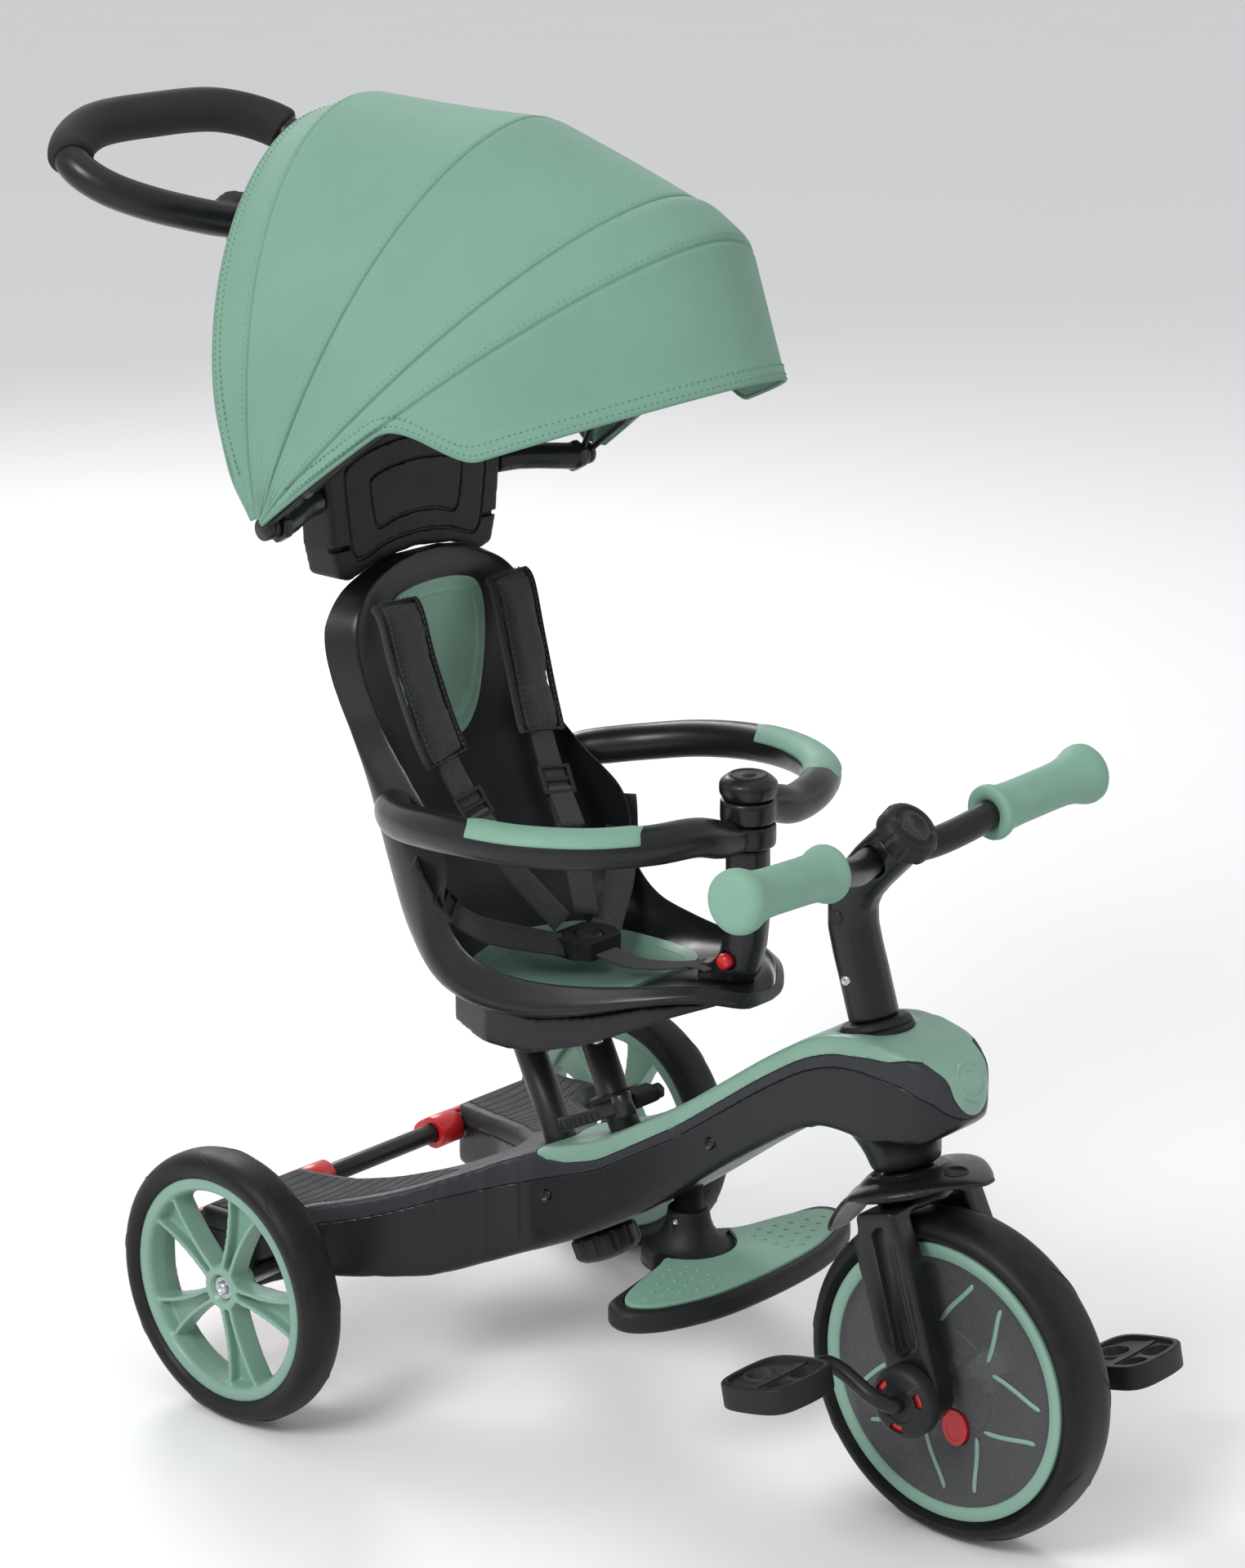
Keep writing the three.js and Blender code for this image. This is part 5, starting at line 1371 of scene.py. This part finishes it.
def webbing(name, path, section, closed=False):
    """A strip with one section along a path in metres, with its cloth UV."""
    made = sweep(name, path, lambda t: section, closed)
    lay_strip_uv(made, len(section))
    return finish_piece(made, "seat", "webbing", ())


def strap(name, points, width, thickness):
    path = [at(*p) for p in curve_points(points, 60)]
    return webbing(name, path, flat_section(width, thickness))


STITCH_LENGTH, STITCH_GAP, THREAD_RADIUS = 3.0, 1.7, 0.42


def stitches(name, path, lift, body, material="dark_thread"):
    """A row of thread stitches on a path of (point, outward normal) pairs in metres."""
    points = np.array([p for p, _ in path])
    normals = np.array([n for _, n in path])
    run = np.concatenate([[0], np.cumsum(np.linalg.norm(np.diff(points, axis=0), axis=1))])
    pitch = (STITCH_LENGTH + STITCH_GAP) * MM
    verts, faces = [], []
    for start in np.arange(pitch / 2, run[-1] - pitch, pitch):
        places = start + np.linspace(0, STITCH_LENGTH, 4) * MM
        centre = np.array([[np.interp(p, run, points[:, k]) for k in range(3)] for p in places])
        normal = np.array([np.interp(start, run, normals[:, k]) for k in range(3)])
        normal /= max(np.linalg.norm(normal), 1e-9)
        direction = centre[-1] - centre[0]
        direction /= max(np.linalg.norm(direction), 1e-9)
        side = np.cross(direction, normal)
        heights = (-0.4, lift, lift, -0.4)
        base = len(verts)
        for middle, height in zip(centre, heights):
            for angle in np.linspace(0, 2 * math.pi, 6, False):
                verts.append(middle + normal * height * MM
                             + (side * math.cos(angle) + normal * math.sin(angle)) * THREAD_RADIUS * MM)
        for ring in range(3):
            for j in range(6):
                a, b = base + ring * 6 + j, base + ring * 6 + (j + 1) % 6
                faces.append((a, b, b + 6, a + 6))
        faces.append(tuple(base + j for j in range(5, -1, -1)))
        faces.append(tuple(base + 18 + j for j in range(6)))
    made = mesh_object(name, verts, faces)
    layer = made.data.uv_layers.new(name="cloth")
    for loop in made.data.loops:
        spot = made.data.vertices[loop.vertex_index].co
        layer.data[loop.index].uv = (spot.x, spot.z)
    return finish_piece(made, body, material)


def inflated(made, voxel, pressure, cap):
    """Fills a closed cloth case with a cloth simulation, and keeps it within cap mm of its shape."""
    remesh = made.modifiers.new("remesh", "REMESH")
    remesh.mode = "VOXEL"
    remesh.voxel_size = voxel * MM
    applied(made)
    before = np.array([v.co for v in made.data.vertices])
    cloth = made.modifiers.new("cloth", "CLOTH")
    cloth.settings.use_pressure = True
    cloth.settings.uniform_pressure_force = pressure
    cloth.settings.effector_weights.gravity = 0
    cloth.settings.tension_stiffness = 30
    cloth.settings.compression_stiffness = 30
    cloth.point_cache.frame_start = 1
    cloth.point_cache.frame_end = 20
    for number in range(1, 21):
        scene.frame_set(number)
    applied(made)
    after = np.array([v.co for v in made.data.vertices])
    move = after - before
    reach = np.linalg.norm(move, axis=1, keepdims=True)
    after = before + move * np.minimum(1, cap * MM / np.maximum(reach, 1e-9))
    made.data.vertices.foreach_set("co", after.ravel())
    smooth = made.modifiers.new("smooth", "SMOOTH")
    smooth.factor = 0.5
    smooth.iterations = 2
    finer = made.modifiers.new("finer", "SUBSURF")
    finer.levels = 1
    applied(made)
    made.data.shade_smooth()
    scene.frame_set(1)
    return made


# ------------------------------------------------------------------ harness
def shoulder_path(sign):
    return [(sign * 62, 512, 628), (sign * 62, 503, 618), (sign * 60, 489.5, 574), (sign * 53, 464, 510),
            (sign * 38, 420, 440), (sign * 14, 380, 388)]


def shoulder_frames(sign, first, last, count):
    """Centres and normals along a shoulder strap between two shares of its length."""
    points = [at(*p) for p in curve_points(shoulder_path(sign), 200)]
    picks = np.linspace(first, last, count) * (len(points) - 2)
    frames = []
    for pick in picks:
        i = int(pick)
        run = (points[i + 1] - points[i]).normalized()
        side = (Vector((1, 0, 0)) - run * run.x).normalized()
        normal = run.cross(side)
        if normal.y > 0:
            normal = -normal
        here = points[i].lerp(points[i + 1], pick - i)
        frames.append((here, run, side, normal))
    return frames


def make_shoulder_pad(side, sign):
    frames = shoulder_frames(sign, 0.05, 0.60, 34)
    path = [here + normal * PAD_LIFT * MM for here, _, _, normal in frames]

    def section(t):
        end = min(t, 1 - t)
        narrow = 1 - 0.10 * max(0, 1 - end / 0.06) ** 2
        return squared_oval(PAD_HALF_WIDTH * narrow, 3.0, 0.35, 0.55, 44)

    pad = sweep(f"shoulder_pad_{side}", path, section)
    inflated(pad, 4.0, 4.0, 3.4)
    press_seams(pad, frames, PAD_SEAMS, 1.5)
    frame_uv(pad, frames)
    finish_piece(pad, "seat", "pad_cloth", [f"shoulder_strap_{side}"])
    add_pad_trim(side, frames)


def press_seams(made, frames, shares, depth):
    """Draws the cover in along seams across a pad."""
    points = [frames[int(share * (len(frames) - 1))] for share in shares]
    for vertex in made.data.vertices:
        for here, run, _, normal in points:
            offset = abs((vertex.co - here).dot(run)) / MM
            if offset < 4:
                height = (vertex.co - here).dot(normal)
                vertex.co -= normal * depth * MM * (1 - offset / 4) ** 2 * (1 if height > 0 else -0.4)


def frame_uv(made, frames):
    """UV in metres along and across a strip described by frames."""
    centres = np.array([f[0] for f in frames])
    run = np.concatenate([[0], np.cumsum(np.linalg.norm(np.diff(centres, axis=0), axis=1))])
    sides = np.array([f[2] for f in frames])
    coords = np.array([v.co for v in made.data.vertices])
    nearest = np.argmin(np.linalg.norm(coords[:, None, :] - centres[None], axis=2), axis=1)
    layer = made.data.uv_layers.new(name="cloth")
    runs = np.array([f[1] for f in frames])
    local = coords - centres[nearest]
    u = np.einsum("ij,ij->i", local, sides[nearest])
    v = run[nearest] + np.einsum("ij,ij->i", local, runs[nearest])
    for loop in made.data.loops:
        layer.data[loop.index].uv = (u[loop.vertex_index], v[loop.vertex_index])


def add_pad_trim(side, frames):
    """A folded binding round the pad's edge, and stitches inside it and along the cross seams."""
    corners = [(one, 1) for one in frames] + [(one, -1) for one in reversed(frames)]
    path, inner = [], []
    for (here, _, sideways, normal), way in corners:
        middle = here + normal * PAD_LIFT * MM
        path.append(middle + sideways * way * (PAD_HALF_WIDTH - 0.2) * MM)
        inner.append((middle + sideways * way * (PAD_HALF_WIDTH - 4.2) * MM + normal * 4.4 * MM, normal))
    webbing(f"pad_binding_{side}", path, oval(1.5, 3.4, 16), closed=True)
    stitches(f"pad_stitches_{side}", inner + inner[:1], 0.45, "seat")
    for i, share in enumerate(PAD_SEAMS):
        here, _, sideways, normal = frames[int(share * (len(frames) - 1))]
        row = [(here + sideways * x * MM + normal * 5.0 * MM, normal) for x in np.linspace(-17, 17, 12)]
        stitches(f"pad_cross_stitches_{side}_{i}", row, 0.4, "seat")


def slider(name, centre, run, normal, wide, tall):
    """A plastic strap adjuster: a rounded frame with a bar across it."""
    run, normal = Vector(run).normalized(), Vector(normal).normalized()
    side = run.cross(normal).normalized()

    def place(a, b, level):
        return centre + (side * a + run * b + normal * level) * MM

    def box(width, height, shift=0):
        return [(a * width / 2, b * height / 2 + shift) for a, b in ((1, 1), (-1, 1), (-1, -1), (1, -1))]

    body = prism(name, box(wide, tall), -1.6, 2.6, place)
    carved(body, [prism("hole", box(wide - 7, (tall - 9) / 2, shift), -6, 8, place)
                  for shift in (-tall / 4 + 0.6, tall / 4 - 0.6)])
    bevelled(body, 1.0, 3, 40)
    return finish_piece(body, "seat", "black_grained", ())


def make_harness():
    for side, sign in SIDES.items():
        strap(f"shoulder_web_{side}", shoulder_path(sign), *WEB)
        make_shoulder_pad(side, sign)
        here, run, _, normal = shoulder_frames(sign, 0.70, 0.705, 2)[0]
        slider(f"shoulder_slider_{side}", here + normal * 1.2 * MM, run, normal, 33, 24)
        tail = [here + run * (x + 6) * MM + normal * (2 + 0.10 * x) * MM for x in np.linspace(0, 34, 14)]
        webbing(f"shoulder_tail_{side}", tail, flat_section(WEB[0], 1.6))
        make_waist(side, sign)
    crotch = strap("crotch_web", [(0, 352, 369), (0, 320, 366.4), (0, 290, 371), (0, 262, 378.5),
                                  (-4, 247, 383)], *WEB)
    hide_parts("crotch_strap")
    strap("crotch_tip", [(-3, 255, 382.6), (-5, 240, 385.4), (-9, 226, 386.4)], 24, 1.6)
    make_buckle()


def make_waist(side, sign):
    """The waist strap lies on edge at the hip and turns flat towards the buckle."""
    stations = [(sign * 117, 437, 450), (sign * 104, 424, 420), (sign * 84, 408, 398),
                (sign * 62, 394, 387), (sign * 24, 370, 375)]
    path = [at(*p) for p in curve_points(stations, 50)]
    points, rings = [], []
    section = flat_section(*WEB)
    for i, here in enumerate(path):
        t = i / (len(path) - 1)
        before, after = path[max(i - 1, 0)], path[min(i + 1, len(path) - 1)]
        run = (after - before).normalized()
        turn = math.radians(36 * (1 - t) + 34)
        wide = Vector((sign * 0.25, 1, 0)) * math.cos(turn) + Vector((0, 0.25, 1)) * math.sin(turn)
        wide = (wide - run * wide.dot(run)).normalized()
        thin = run.cross(wide)
        rings.append([len(points) + k for k in range(len(section))])
        points += [here + wide * a * MM + thin * b * MM for a, b in section]
    faces = [(f[j], f[(j + 1) % len(f)], g[(j + 1) % len(f)], g[j])
             for f, g in zip(rings, rings[1:]) for j in range(len(section))]
    faces += [tuple(reversed(rings[0])), tuple(rings[-1])]
    made = mesh_object(f"waist_web_{side}", points, faces)
    lay_strip_uv(made, len(section))
    finish_piece(made, "seat", "webbing", [f"waist_strap_{side}"])
    here = path[14]
    run = (path[16] - path[12]).normalized()
    up = (Vector((0, -0.5, 1)) - run * run.dot(Vector((0, -0.5, 1)))).normalized()
    slider(f"waist_slider_{side}", here + up * 2 * MM, run, up, 32, 22)


def make_buckle():
    centre = centre_of("buckle")

    def place(a, b, level):
        return centre + Vector((a, b, level)) * MM

    outline = [(-25, 17), (-25, -6), (-17, -19), (17, -19), (25, -6), (25, 17), (15, 21), (-15, 21)]
    body = prism("buckle_body", outline, -7.4, 7.4, place)
    well = prism("well", circle(11.9, 60), -1, 20, place)
    lip = [prism("line", [(x - 0.7, -30), (x + 0.7, -30), (x + 0.7, 30), (x - 0.7, 30)], 6.7, 12, place)
           for x in (-18.5, 18.5)]
    carved(body, [well, *lip])
    bevelled(body, 1.8, 4, 40)
    finish_piece(body, "seat", "black_grained", ["buckle"])
    top = lathe("buckle_press", [(0, 4), (11, 4), (11, 10.6), (9.6, 11.8), (7, 11.4), (0, 10.8)],
                centre - Vector((0, 0, 4 * MM)), (0, 0, 1), 64)
    finish_piece(top, "buckle_button", "black", ["buckle_button"])


# ------------------------------------------------------------------ safety ring
def ring_points(sign):
    low = -8.25 if sign < 0 else 10.25
    half = [(10, 206.4, RING_LEVEL + low), (30, 206.8, RING_LEVEL + low * 0.75), (56, 209, 504),
            (94, 219, 505), (132, 245, 505), (157, 290, 504), (163, 340, 502), (156, 388, 497),
            (138, 430, 490), (113, 462, 485), (101, 473, 483)]
    return [(sign * x, y, z) for x, y, z in half]


def make_ring():
    moulding("ring_post_skin", "ring_post", "seat", "black", 1.6, 6)
    cap_centre = Vector((0, at(0, RING_POST_Y, 0).y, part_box("ring_post")[1].z))
    pin = at(0, RING_POST_Y, RING_LEVEL)
    cap = lathe("ring_cap", [(0, -2), (13.5, -2), (14.5, 0.5), (13, 1.0), (11.5, -0.2), (6.5, -0.2),
                             (5.5, 0.8), (0, 1.0)], cap_centre, (0, 0, 1), 64)
    finish_piece(cap, "seat", "black_grained", ())
    for side, sign in SIDES.items():
        low, high = (-17, 0.5) if sign < 0 else (1.5, 19)
        radii = [13, 14.6, 15, 15, 15, 15, 15, 15, 13.5]
        arm = pipe(f"ring_tube_{side}", ring_points(sign), radii, 96, 40)
        knuckle = lathe("knuckle", [(0, low), (20, low), (21, low + 1), (21, high - 1), (20, high),
                                    (0, high)], pin, (0, 0, 1), 60)
        carved(arm, [knuckle], "UNION")
        arm = fused(arm, 1.6, 6)
        other_low, other_high = (1, 20) if sign < 0 else (-18, 1)
        other = lathe("other", [(0, other_low), (22.6, other_low), (22.6, other_high), (0, other_high)],
                      pin, (0, 0, 1), 60)
        bore = lathe("bore", [(0, -40), (9.8, -40), (9.8, 50), (0, 50)], pin, (0, 0, 1), 40)
        half = prism("half", [(sign * 0.5, 100), (-sign * 60, 100), (-sign * 60, 320), (sign * 0.5, 320)],
                     RING_LEVEL + other_low, RING_LEVEL + other_high, upward)
        carved(arm, [other, bore, half])
        finish_piece(arm, f"ring_{side}", "black", [f"ring_arm_{side}"])
        add_ring_pad(side, sign)
    button = lathe("ring_button_skin", [(0, 0), (6, 0), (6, 8), (5.2, 9.4), (4, 10), (0, 10)],
                   Vector((-12.5 * MM, at(0, 212, 0).y, 398 * MM)), (-1, 0, 0), 40)
    finish_piece(button, "ring_button", "red", ["ring_release_button"])


def add_ring_pad(side, sign):
    """The green soft pad let into the upper outside of a ring half."""
    path = [at(*p) for p in curve_points(ring_points(sign), 200)][62:118]

    def section(t):
        end = min(t, 1 - t)
        swell = min(1, math.sqrt(max(end, 0) / 0.07 + 0.01))
        outline = []
        for angle in np.linspace(math.radians(20), math.radians(160), 18):
            outline.append((15.9 * math.sin(angle), 15.9 * math.cos(angle)))
        for angle in np.linspace(math.radians(158), math.radians(22), 14):
            outline.append((13.6 * math.sin(angle), 13.6 * math.cos(angle)))
        return [(a * (0.93 + 0.07 * swell), b * (0.25 + 0.75 * swell)) for a, b in outline]

    pad = sweep(f"ring_pad_{side}", path, section, up=Vector((0, 0, 1)))
    finish_piece(pad, f"ring_{side}", "grip", ())


# ------------------------------------------------------------------ headrest and canopy arms
def make_headrest():
    skin = softened("headrest_skin", ["headrest"], 1.8, 8)
    outline = [(0, 656), (40, 652), (72, 641), (84, 645), (90, 668), (96, 722), (92, 740), (58, 754),
               (0, 760)]
    grooves = []
    for share_x, share_z in ((0.80, 0.74), (0.52, 0.40)):
        middle = HINGE[1]
        inner = [(x * share_x, middle + (z - middle) * share_z) for x, z in mirrored(outline)]
        path = [at(x, 545.2, z) for x, z in curve_points(inner, 160, True)]
        grooves.append(sweep("groove", path, lambda t: circle(1.5, 8), closed=True,
                             up=Vector((0, 1, 0))))
    carved(skin, grooves)
    slots = []
    for sign in (-1, 1):
        for z in (668, 733):
            slot = [(sign * 72, z - 2.2), (sign * 100, z - 2.2), (sign * 100, z + 2.2),
                    (sign * 72, z + 2.2)]
            slots.append(prism("slot", slot, 530, 551, backward))
    carved(skin, slots)
    finish_piece(skin, "seat", "black_grained", ["headrest"])
    for side, sign in SIDES.items():
        moulding(f"canopy_arm_skin_{side}", f"canopy_arm_{side}", "seat", "black", 1.3, 4)
        screw(f"hinge_bolt_{side}", at(sign * 166, *HINGE), (sign, 0, 0), "seat", 6, "steel", 2.4)


# ------------------------------------------------------------------ canopy
# The cloth's distance from the hinge line at angles from the front, and where its seams are.
REACH = [(18, 344), (38, 363), (55, 330), (72, 317), (90, 316), (116, 304)]
SEAMS = (38.0, 46.0, 70.0, 102.0)
EDGE = math.radians(88.4)  # how far round each side the cloth reaches towards its hinge


def chord_reach(degrees, offset):
    """Distance from the hinge line on the straight lines drawn between the seams."""
    knots = (20.0, *SEAMS, 114.0)
    for low, high in zip(knots, knots[1:]):
        if degrees <= high or high == knots[-1]:
            break
    r1, r2 = (line_height(REACH, k) + offset for k in (low, high))
    a, b, t = (math.radians(v) for v in (low, high, degrees))
    return r1 * r2 * math.sin(b - a) / (r1 * math.sin(t - a) + r2 * math.sin(b - t))


def canopy_offset(degrees):
    return float(np.interp(degrees, [38, 46, 70, 102], [0, -1, -5, -5])) + 1.0


def front_hem(s):
    """Angle of the front edge: the visor in the middle, then the side edge down to the hinge."""
    rise = between(0, (abs(s) - 0.60) / 0.16, 1)
    return 21.5 + 15.7 * rise * rise * (3 - 2 * rise)


def rear_hem(s):
    return 111.5 + 20 * abs(s) ** 3


def canopy_point(s, degrees, lift=0.0):
    turn = EDGE * s
    angle = math.radians(degrees)
    base = chord_reach(degrees, canopy_offset(degrees))
    middle = math.cos(turn)
    band = math.exp(-((degrees - 42) / 3.5) ** 6) * 4.6 * middle ** 0.35
    pucker = 0.9 * math.sin(degrees * 1.15 + 7 * s) * abs(s) ** 5
    sag = -1.5 * math.sin(math.radians(degrees) * 5.2) * middle
    reach = base + band + sag + lift
    side = CANOPY_HALF_WIDTH + canopy_offset(degrees) + lift + pucker
    return at(side * math.copysign(abs(math.sin(turn)) ** 1.1, s),
              HINGE[0] - reach * middle * math.cos(angle), HINGE[1] + reach * middle * math.sin(angle))


def canopy_rows():
    """Shares of each band between hem and seams where rows run: closer together near the seams."""
    rows = []
    bands = (30, 22, 40, 44, 20)
    for band, count in enumerate(bands):
        for t in np.linspace(0, 1, count, endpoint=band == len(bands) - 1):
            rows.append((band, t - 0.13 * math.sin(2 * math.pi * t)))
    return rows


def canopy_angle(band, share, s):
    knots = (front_hem(s), *SEAMS, rear_hem(s))
    return knots[band] + (knots[band + 1] - knots[band]) * share


def seam_dip(degrees, s):
    """How far the cloth is drawn in at a seam, in mm."""
    dip = 0
    for seam in SEAMS:
        gap = (degrees - seam) * math.radians(1) * 330 * max(math.cos(EDGE * s), 0.05)
        dip = max(dip, 2.6 * math.exp(-(gap / 1.7) ** 2) - 0.9 * math.exp(-((abs(gap) - 6) / 3.4) ** 2))
    return dip


def make_canopy():
    columns = 141
    shares = np.sin(np.linspace(-1, 1, columns) * math.pi / 2 * 0.92) / math.sin(math.pi / 2 * 0.92)
    rows = canopy_rows()
    points, cloth = [], []
    for band, share in rows:
        for s in shares:
            degrees = canopy_angle(band, share, s)
            from_hem = min(degrees - front_hem(s), rear_hem(s) - degrees) * 5.9 * math.cos(1.45 * s)
            fold = 0.8 if from_hem < 12 else 0
            points.append(canopy_point(s, degrees, fold - seam_dip(degrees, s)))
            cloth.append((CANOPY_HALF_WIDTH * 1.5 * s * MM, math.radians(degrees) * 330 * MM))
    made = mesh_object("canopy_cloth", points, grid_faces(len(rows), columns))
    layer = made.data.uv_layers.new(name="cloth")
    for loop in made.data.loops:
        layer.data[loop.index].uv = cloth[loop.vertex_index]
    thick = made.modifiers.new("wall", "SOLIDIFY")
    thick.thickness = 1.4 * MM
    thick.offset = 0
    applied(made)
    made.data.shade_smooth()
    made.data.materials.append(MATERIALS["canopy"])
    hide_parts("canopy_fabric_rear", "canopy_fabric_front")
    trims = canopy_trims()
    for piece in [made, *trims]:
        follow_canopy(piece)


def follow_canopy(piece):
    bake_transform(piece)


def canopy_line(degrees_at, lift, count=220, reach=0.985):
    """Points and outward normals on the canopy along a line that crosses it side to side."""
    path = []
    for s in np.linspace(-reach, reach, count):
        degrees = degrees_at(s)
        here = canopy_point(s, degrees, lift)
        out = canopy_point(s, degrees, lift + 5) - here
        path.append((here, out.normalized()))
    return path


def canopy_trims():
    """Bound edges, rows of stitches by the hems and the seams."""
    trims = []
    for name, hem, inward in (("front", front_hem, 1), ("rear", rear_hem, -1)):
        edge = [p for p, _ in canopy_line(hem, 0.3, 260, 0.998)]
        binding = sweep(f"canopy_binding_{name}", edge, lambda t: circle(1.6, 14),
                        up=Vector((0, 0.3, 1)))
        lay_strip_uv(binding, 14)
        trims.append(finish_piece(binding, None, "binding", ()))
        for k, gap in enumerate((3.2, 9.6)):
            def row(s, hem=hem, gap=gap, inward=inward):
                return hem(s) + inward * gap / 5.9 / max(math.cos(EDGE * s), 0.12)
            path = canopy_line(row, 1.2, 240, 0.93)
            trims.append(stitches(f"canopy_stitches_{name}_{k}", path, 0.5, None, "thread"))
    for k, seam in enumerate(SEAMS):
        path = canopy_line(lambda s, seam=seam: seam + 0.75 / max(math.cos(EDGE * s), 0.15),
                           0.1, 240, 0.9)
        trims.append(stitches(f"canopy_seam_stitches_{k}", path, 0.5, None, "thread"))
    return trims


# Name, body, angle, distance inside the cloth, tube radius and distance of the hinge ears.
BOWS = [("canopy_front_bow", "canopy_front", 38, -9, 5, 176),
        ("canopy_mid_bow", "canopy_mid", 60.5, -21, 4, 170)]


def make_bows():
    for name, body, degrees, offset, radius, ear in BOWS:
        reach = line_height(REACH, degrees) + offset
        angle = math.radians(degrees)
        points = []
        for share in np.linspace(-1, 1, 31):
            turn = 0.9 * math.pi / 2 * share
            out = reach * math.cos(turn)
            side = (CANOPY_HALF_WIDTH + offset) * math.copysign(abs(math.sin(turn)) ** 1.1, share)
            points.append((side, HINGE[0] - out * math.cos(angle), HINGE[1] + out * math.sin(angle)))
        bow = pipe(name + "_skin", points, radius - 0.1, 120, 20)
        finish_piece(bow, body, "black_metal", [name])
        for side, sign in SIDES.items():
            hinge = at(sign * ear, *HINGE)
            disc = lathe(f"{name}_ear_{side}", [(0, -2.5), (8.5, -2.5), (9, -2), (9, 2), (8.5, 2.5),
                                                (0, 2.5)], hinge, (1, 0, 0), 40)
            end = points[0] if sign < 0 else points[-1]
            rod = pipe("rod", [(sign * ear, *HINGE), end], 2.6, 8, 14)
            carved(disc, [rod], "UNION")
            finish_piece(disc, body, "black_metal", ())


# ------------------------------------------------------------------ push handle
def on_handle(z):
    return (0, 602 + (z - 700) * math.tan(HANDLE_LEAN), z)


def loop_points():
    plane = [(0, 0), (58, 22), (104, 58), (112, 96), (68, 126), (0, 131), (-68, 126), (-112, 96),
             (-104, 58), (-58, 22)]
    y, z = LOOP_START
    return [(x, y + back * math.cos(LOOP_TILT), z + back * math.sin(LOOP_TILT)) for x, back in plane]


def make_handle():
    moulding("handle_sleeve_skin", "handle_sleeve", "seat", "black", 1.5, 4)
    stalk = pipe("handle_skin", [on_handle(560), on_handle(700), on_handle(742), (0, 640, 762),
                                 (0, 690, 797), (0, 718, 838), (0, 730, 868), (0, 734, 895)],
                 [12.9, 12.9, 13, 13, 13.5, 15, 16], 90, 32)
    loop = pipe("loop", loop_points(), 14, 160, 32, closed=True)
    gusset = [(-30, 5), (0, 18), (30, 5), (34, 14), (0, 30), (-34, 14)]
    web = prism("web", smooth_outline(gusset, 40), -6, 6, loop_plane)
    carved(stalk, [loop, web], "UNION")
    stalk = fused(stalk, 1.9, 7)
    finish_piece(stalk, "handle", "black", ["handle_loop"])
    path = [at(*p) for p in curve_points(loop_points(), 240, closed=True)][70:170]

    def section(t):
        end = min(t, 1 - t)
        radius = 18 - 2.4 * max(0, 1 - end / 0.02) ** 2
        return circle(radius, 40)

    grip = sweep("handle_foam", path, section, up=Vector((0.02, 0.1, 1)).normalized())
    finish_piece(grip, "handle", "foam", ["handle_grip"])


def loop_plane(a, b, level):
    return at(a, LOOP_START[0] + b * math.cos(LOOP_TILT) - level * math.sin(LOOP_TILT),
              LOOP_START[1] + b * math.sin(LOOP_TILT) + level * math.cos(LOOP_TILT))


# ------------------------------------------------------------------ camera, lights, floor
def make_camera():
    azimuth, elevation, distance = math.radians(-47.98), math.radians(17.20), 2.9983
    target = Vector((3.6, -31.15, 505.3)) * MM
    back = Vector((math.sin(azimuth) * math.cos(elevation), -math.cos(azimuth) * math.cos(elevation),
                   math.sin(elevation)))
    data = bpy.data.cameras.new("view")
    data.lens = 91.04
    data.sensor_width = 36
    camera = bpy.data.objects.new("view", data)
    camera.location = target + back * distance
    camera.rotation_euler = back.to_track_quat("Z", "Y").to_euler()
    scene.collection.objects.link(camera)
    scene.camera = camera


def add_light(name, place, target, size, power, color=(1, 1, 1)):
    data = bpy.data.lights.new(name, "AREA")
    data.shape = "DISK"
    data.size = size
    data.energy = power
    data.color = color
    lamp = bpy.data.objects.new(name, data)
    lamp.location = place
    lamp.rotation_euler = (Vector(place) - Vector(target)).to_track_quat("Z", "Y").to_euler()
    scene.collection.objects.link(lamp)


def make_studio():
    add_light("key", (-3.0, -0.3, 2.9), (0, 0, 0.5), 1.5, 84)
    add_light("fill", (2.8, -2.2, 1.4), (0, 0, 0.4), 2.0, 6)
    add_light("rim", (1.4, 2.6, 2.2), (0, 0, 0.5), 1.2, 46)
    add_light("top", (0, 0, 3.6), (0, 0, 0.4), 2.4, 6)
    world = bpy.data.worlds.new("studio")
    world.use_nodes = True
    world.node_tree.nodes["Background"].inputs[0].default_value = (0.97, 0.975, 0.98, 1)
    world.node_tree.nodes["Background"].inputs[1].default_value = 0.72
    scene.world = world
    scene.view_settings.view_transform = "Standard"
    floor = mesh_object("floor", [(-30, -30, 0), (30, -30, 0), (30, 30, 0), (-30, 30, 0)], [(0, 1, 2, 3)],
                        smooth=False)
    material, tree, shader = new_material("pale_floor")
    mottle = noise(tree, object_space(tree), 3, 3)
    tree.links.new(tinted(tree, (0.86, 0.86, 0.87), 0.98, mottle), shader.inputs["Base Color"])
    shader.inputs["Roughness"].default_value = 0.75
    floor.data.materials.append(material)


def build():
    """Makes the pieces in the order that the export lists them, then the camera and the room."""
    for make in (make_frame, make_deck_pads, make_head, make_lock_knob, make_footrest, make_brake,
                 make_axles, make_rear_wheels, make_front_wheel, make_clutch_button, make_fork,
                 make_fender, make_stem, make_handlebar, make_bar_knob, make_crankset, make_pedals,
                 make_seat_shell, make_seat_inserts, make_seat_base, make_seat_posts, make_seat_clamp,
                 make_harness, make_ring, make_headrest, make_bows, make_canopy, make_handle,
                 make_camera, make_studio):
        make()


build()
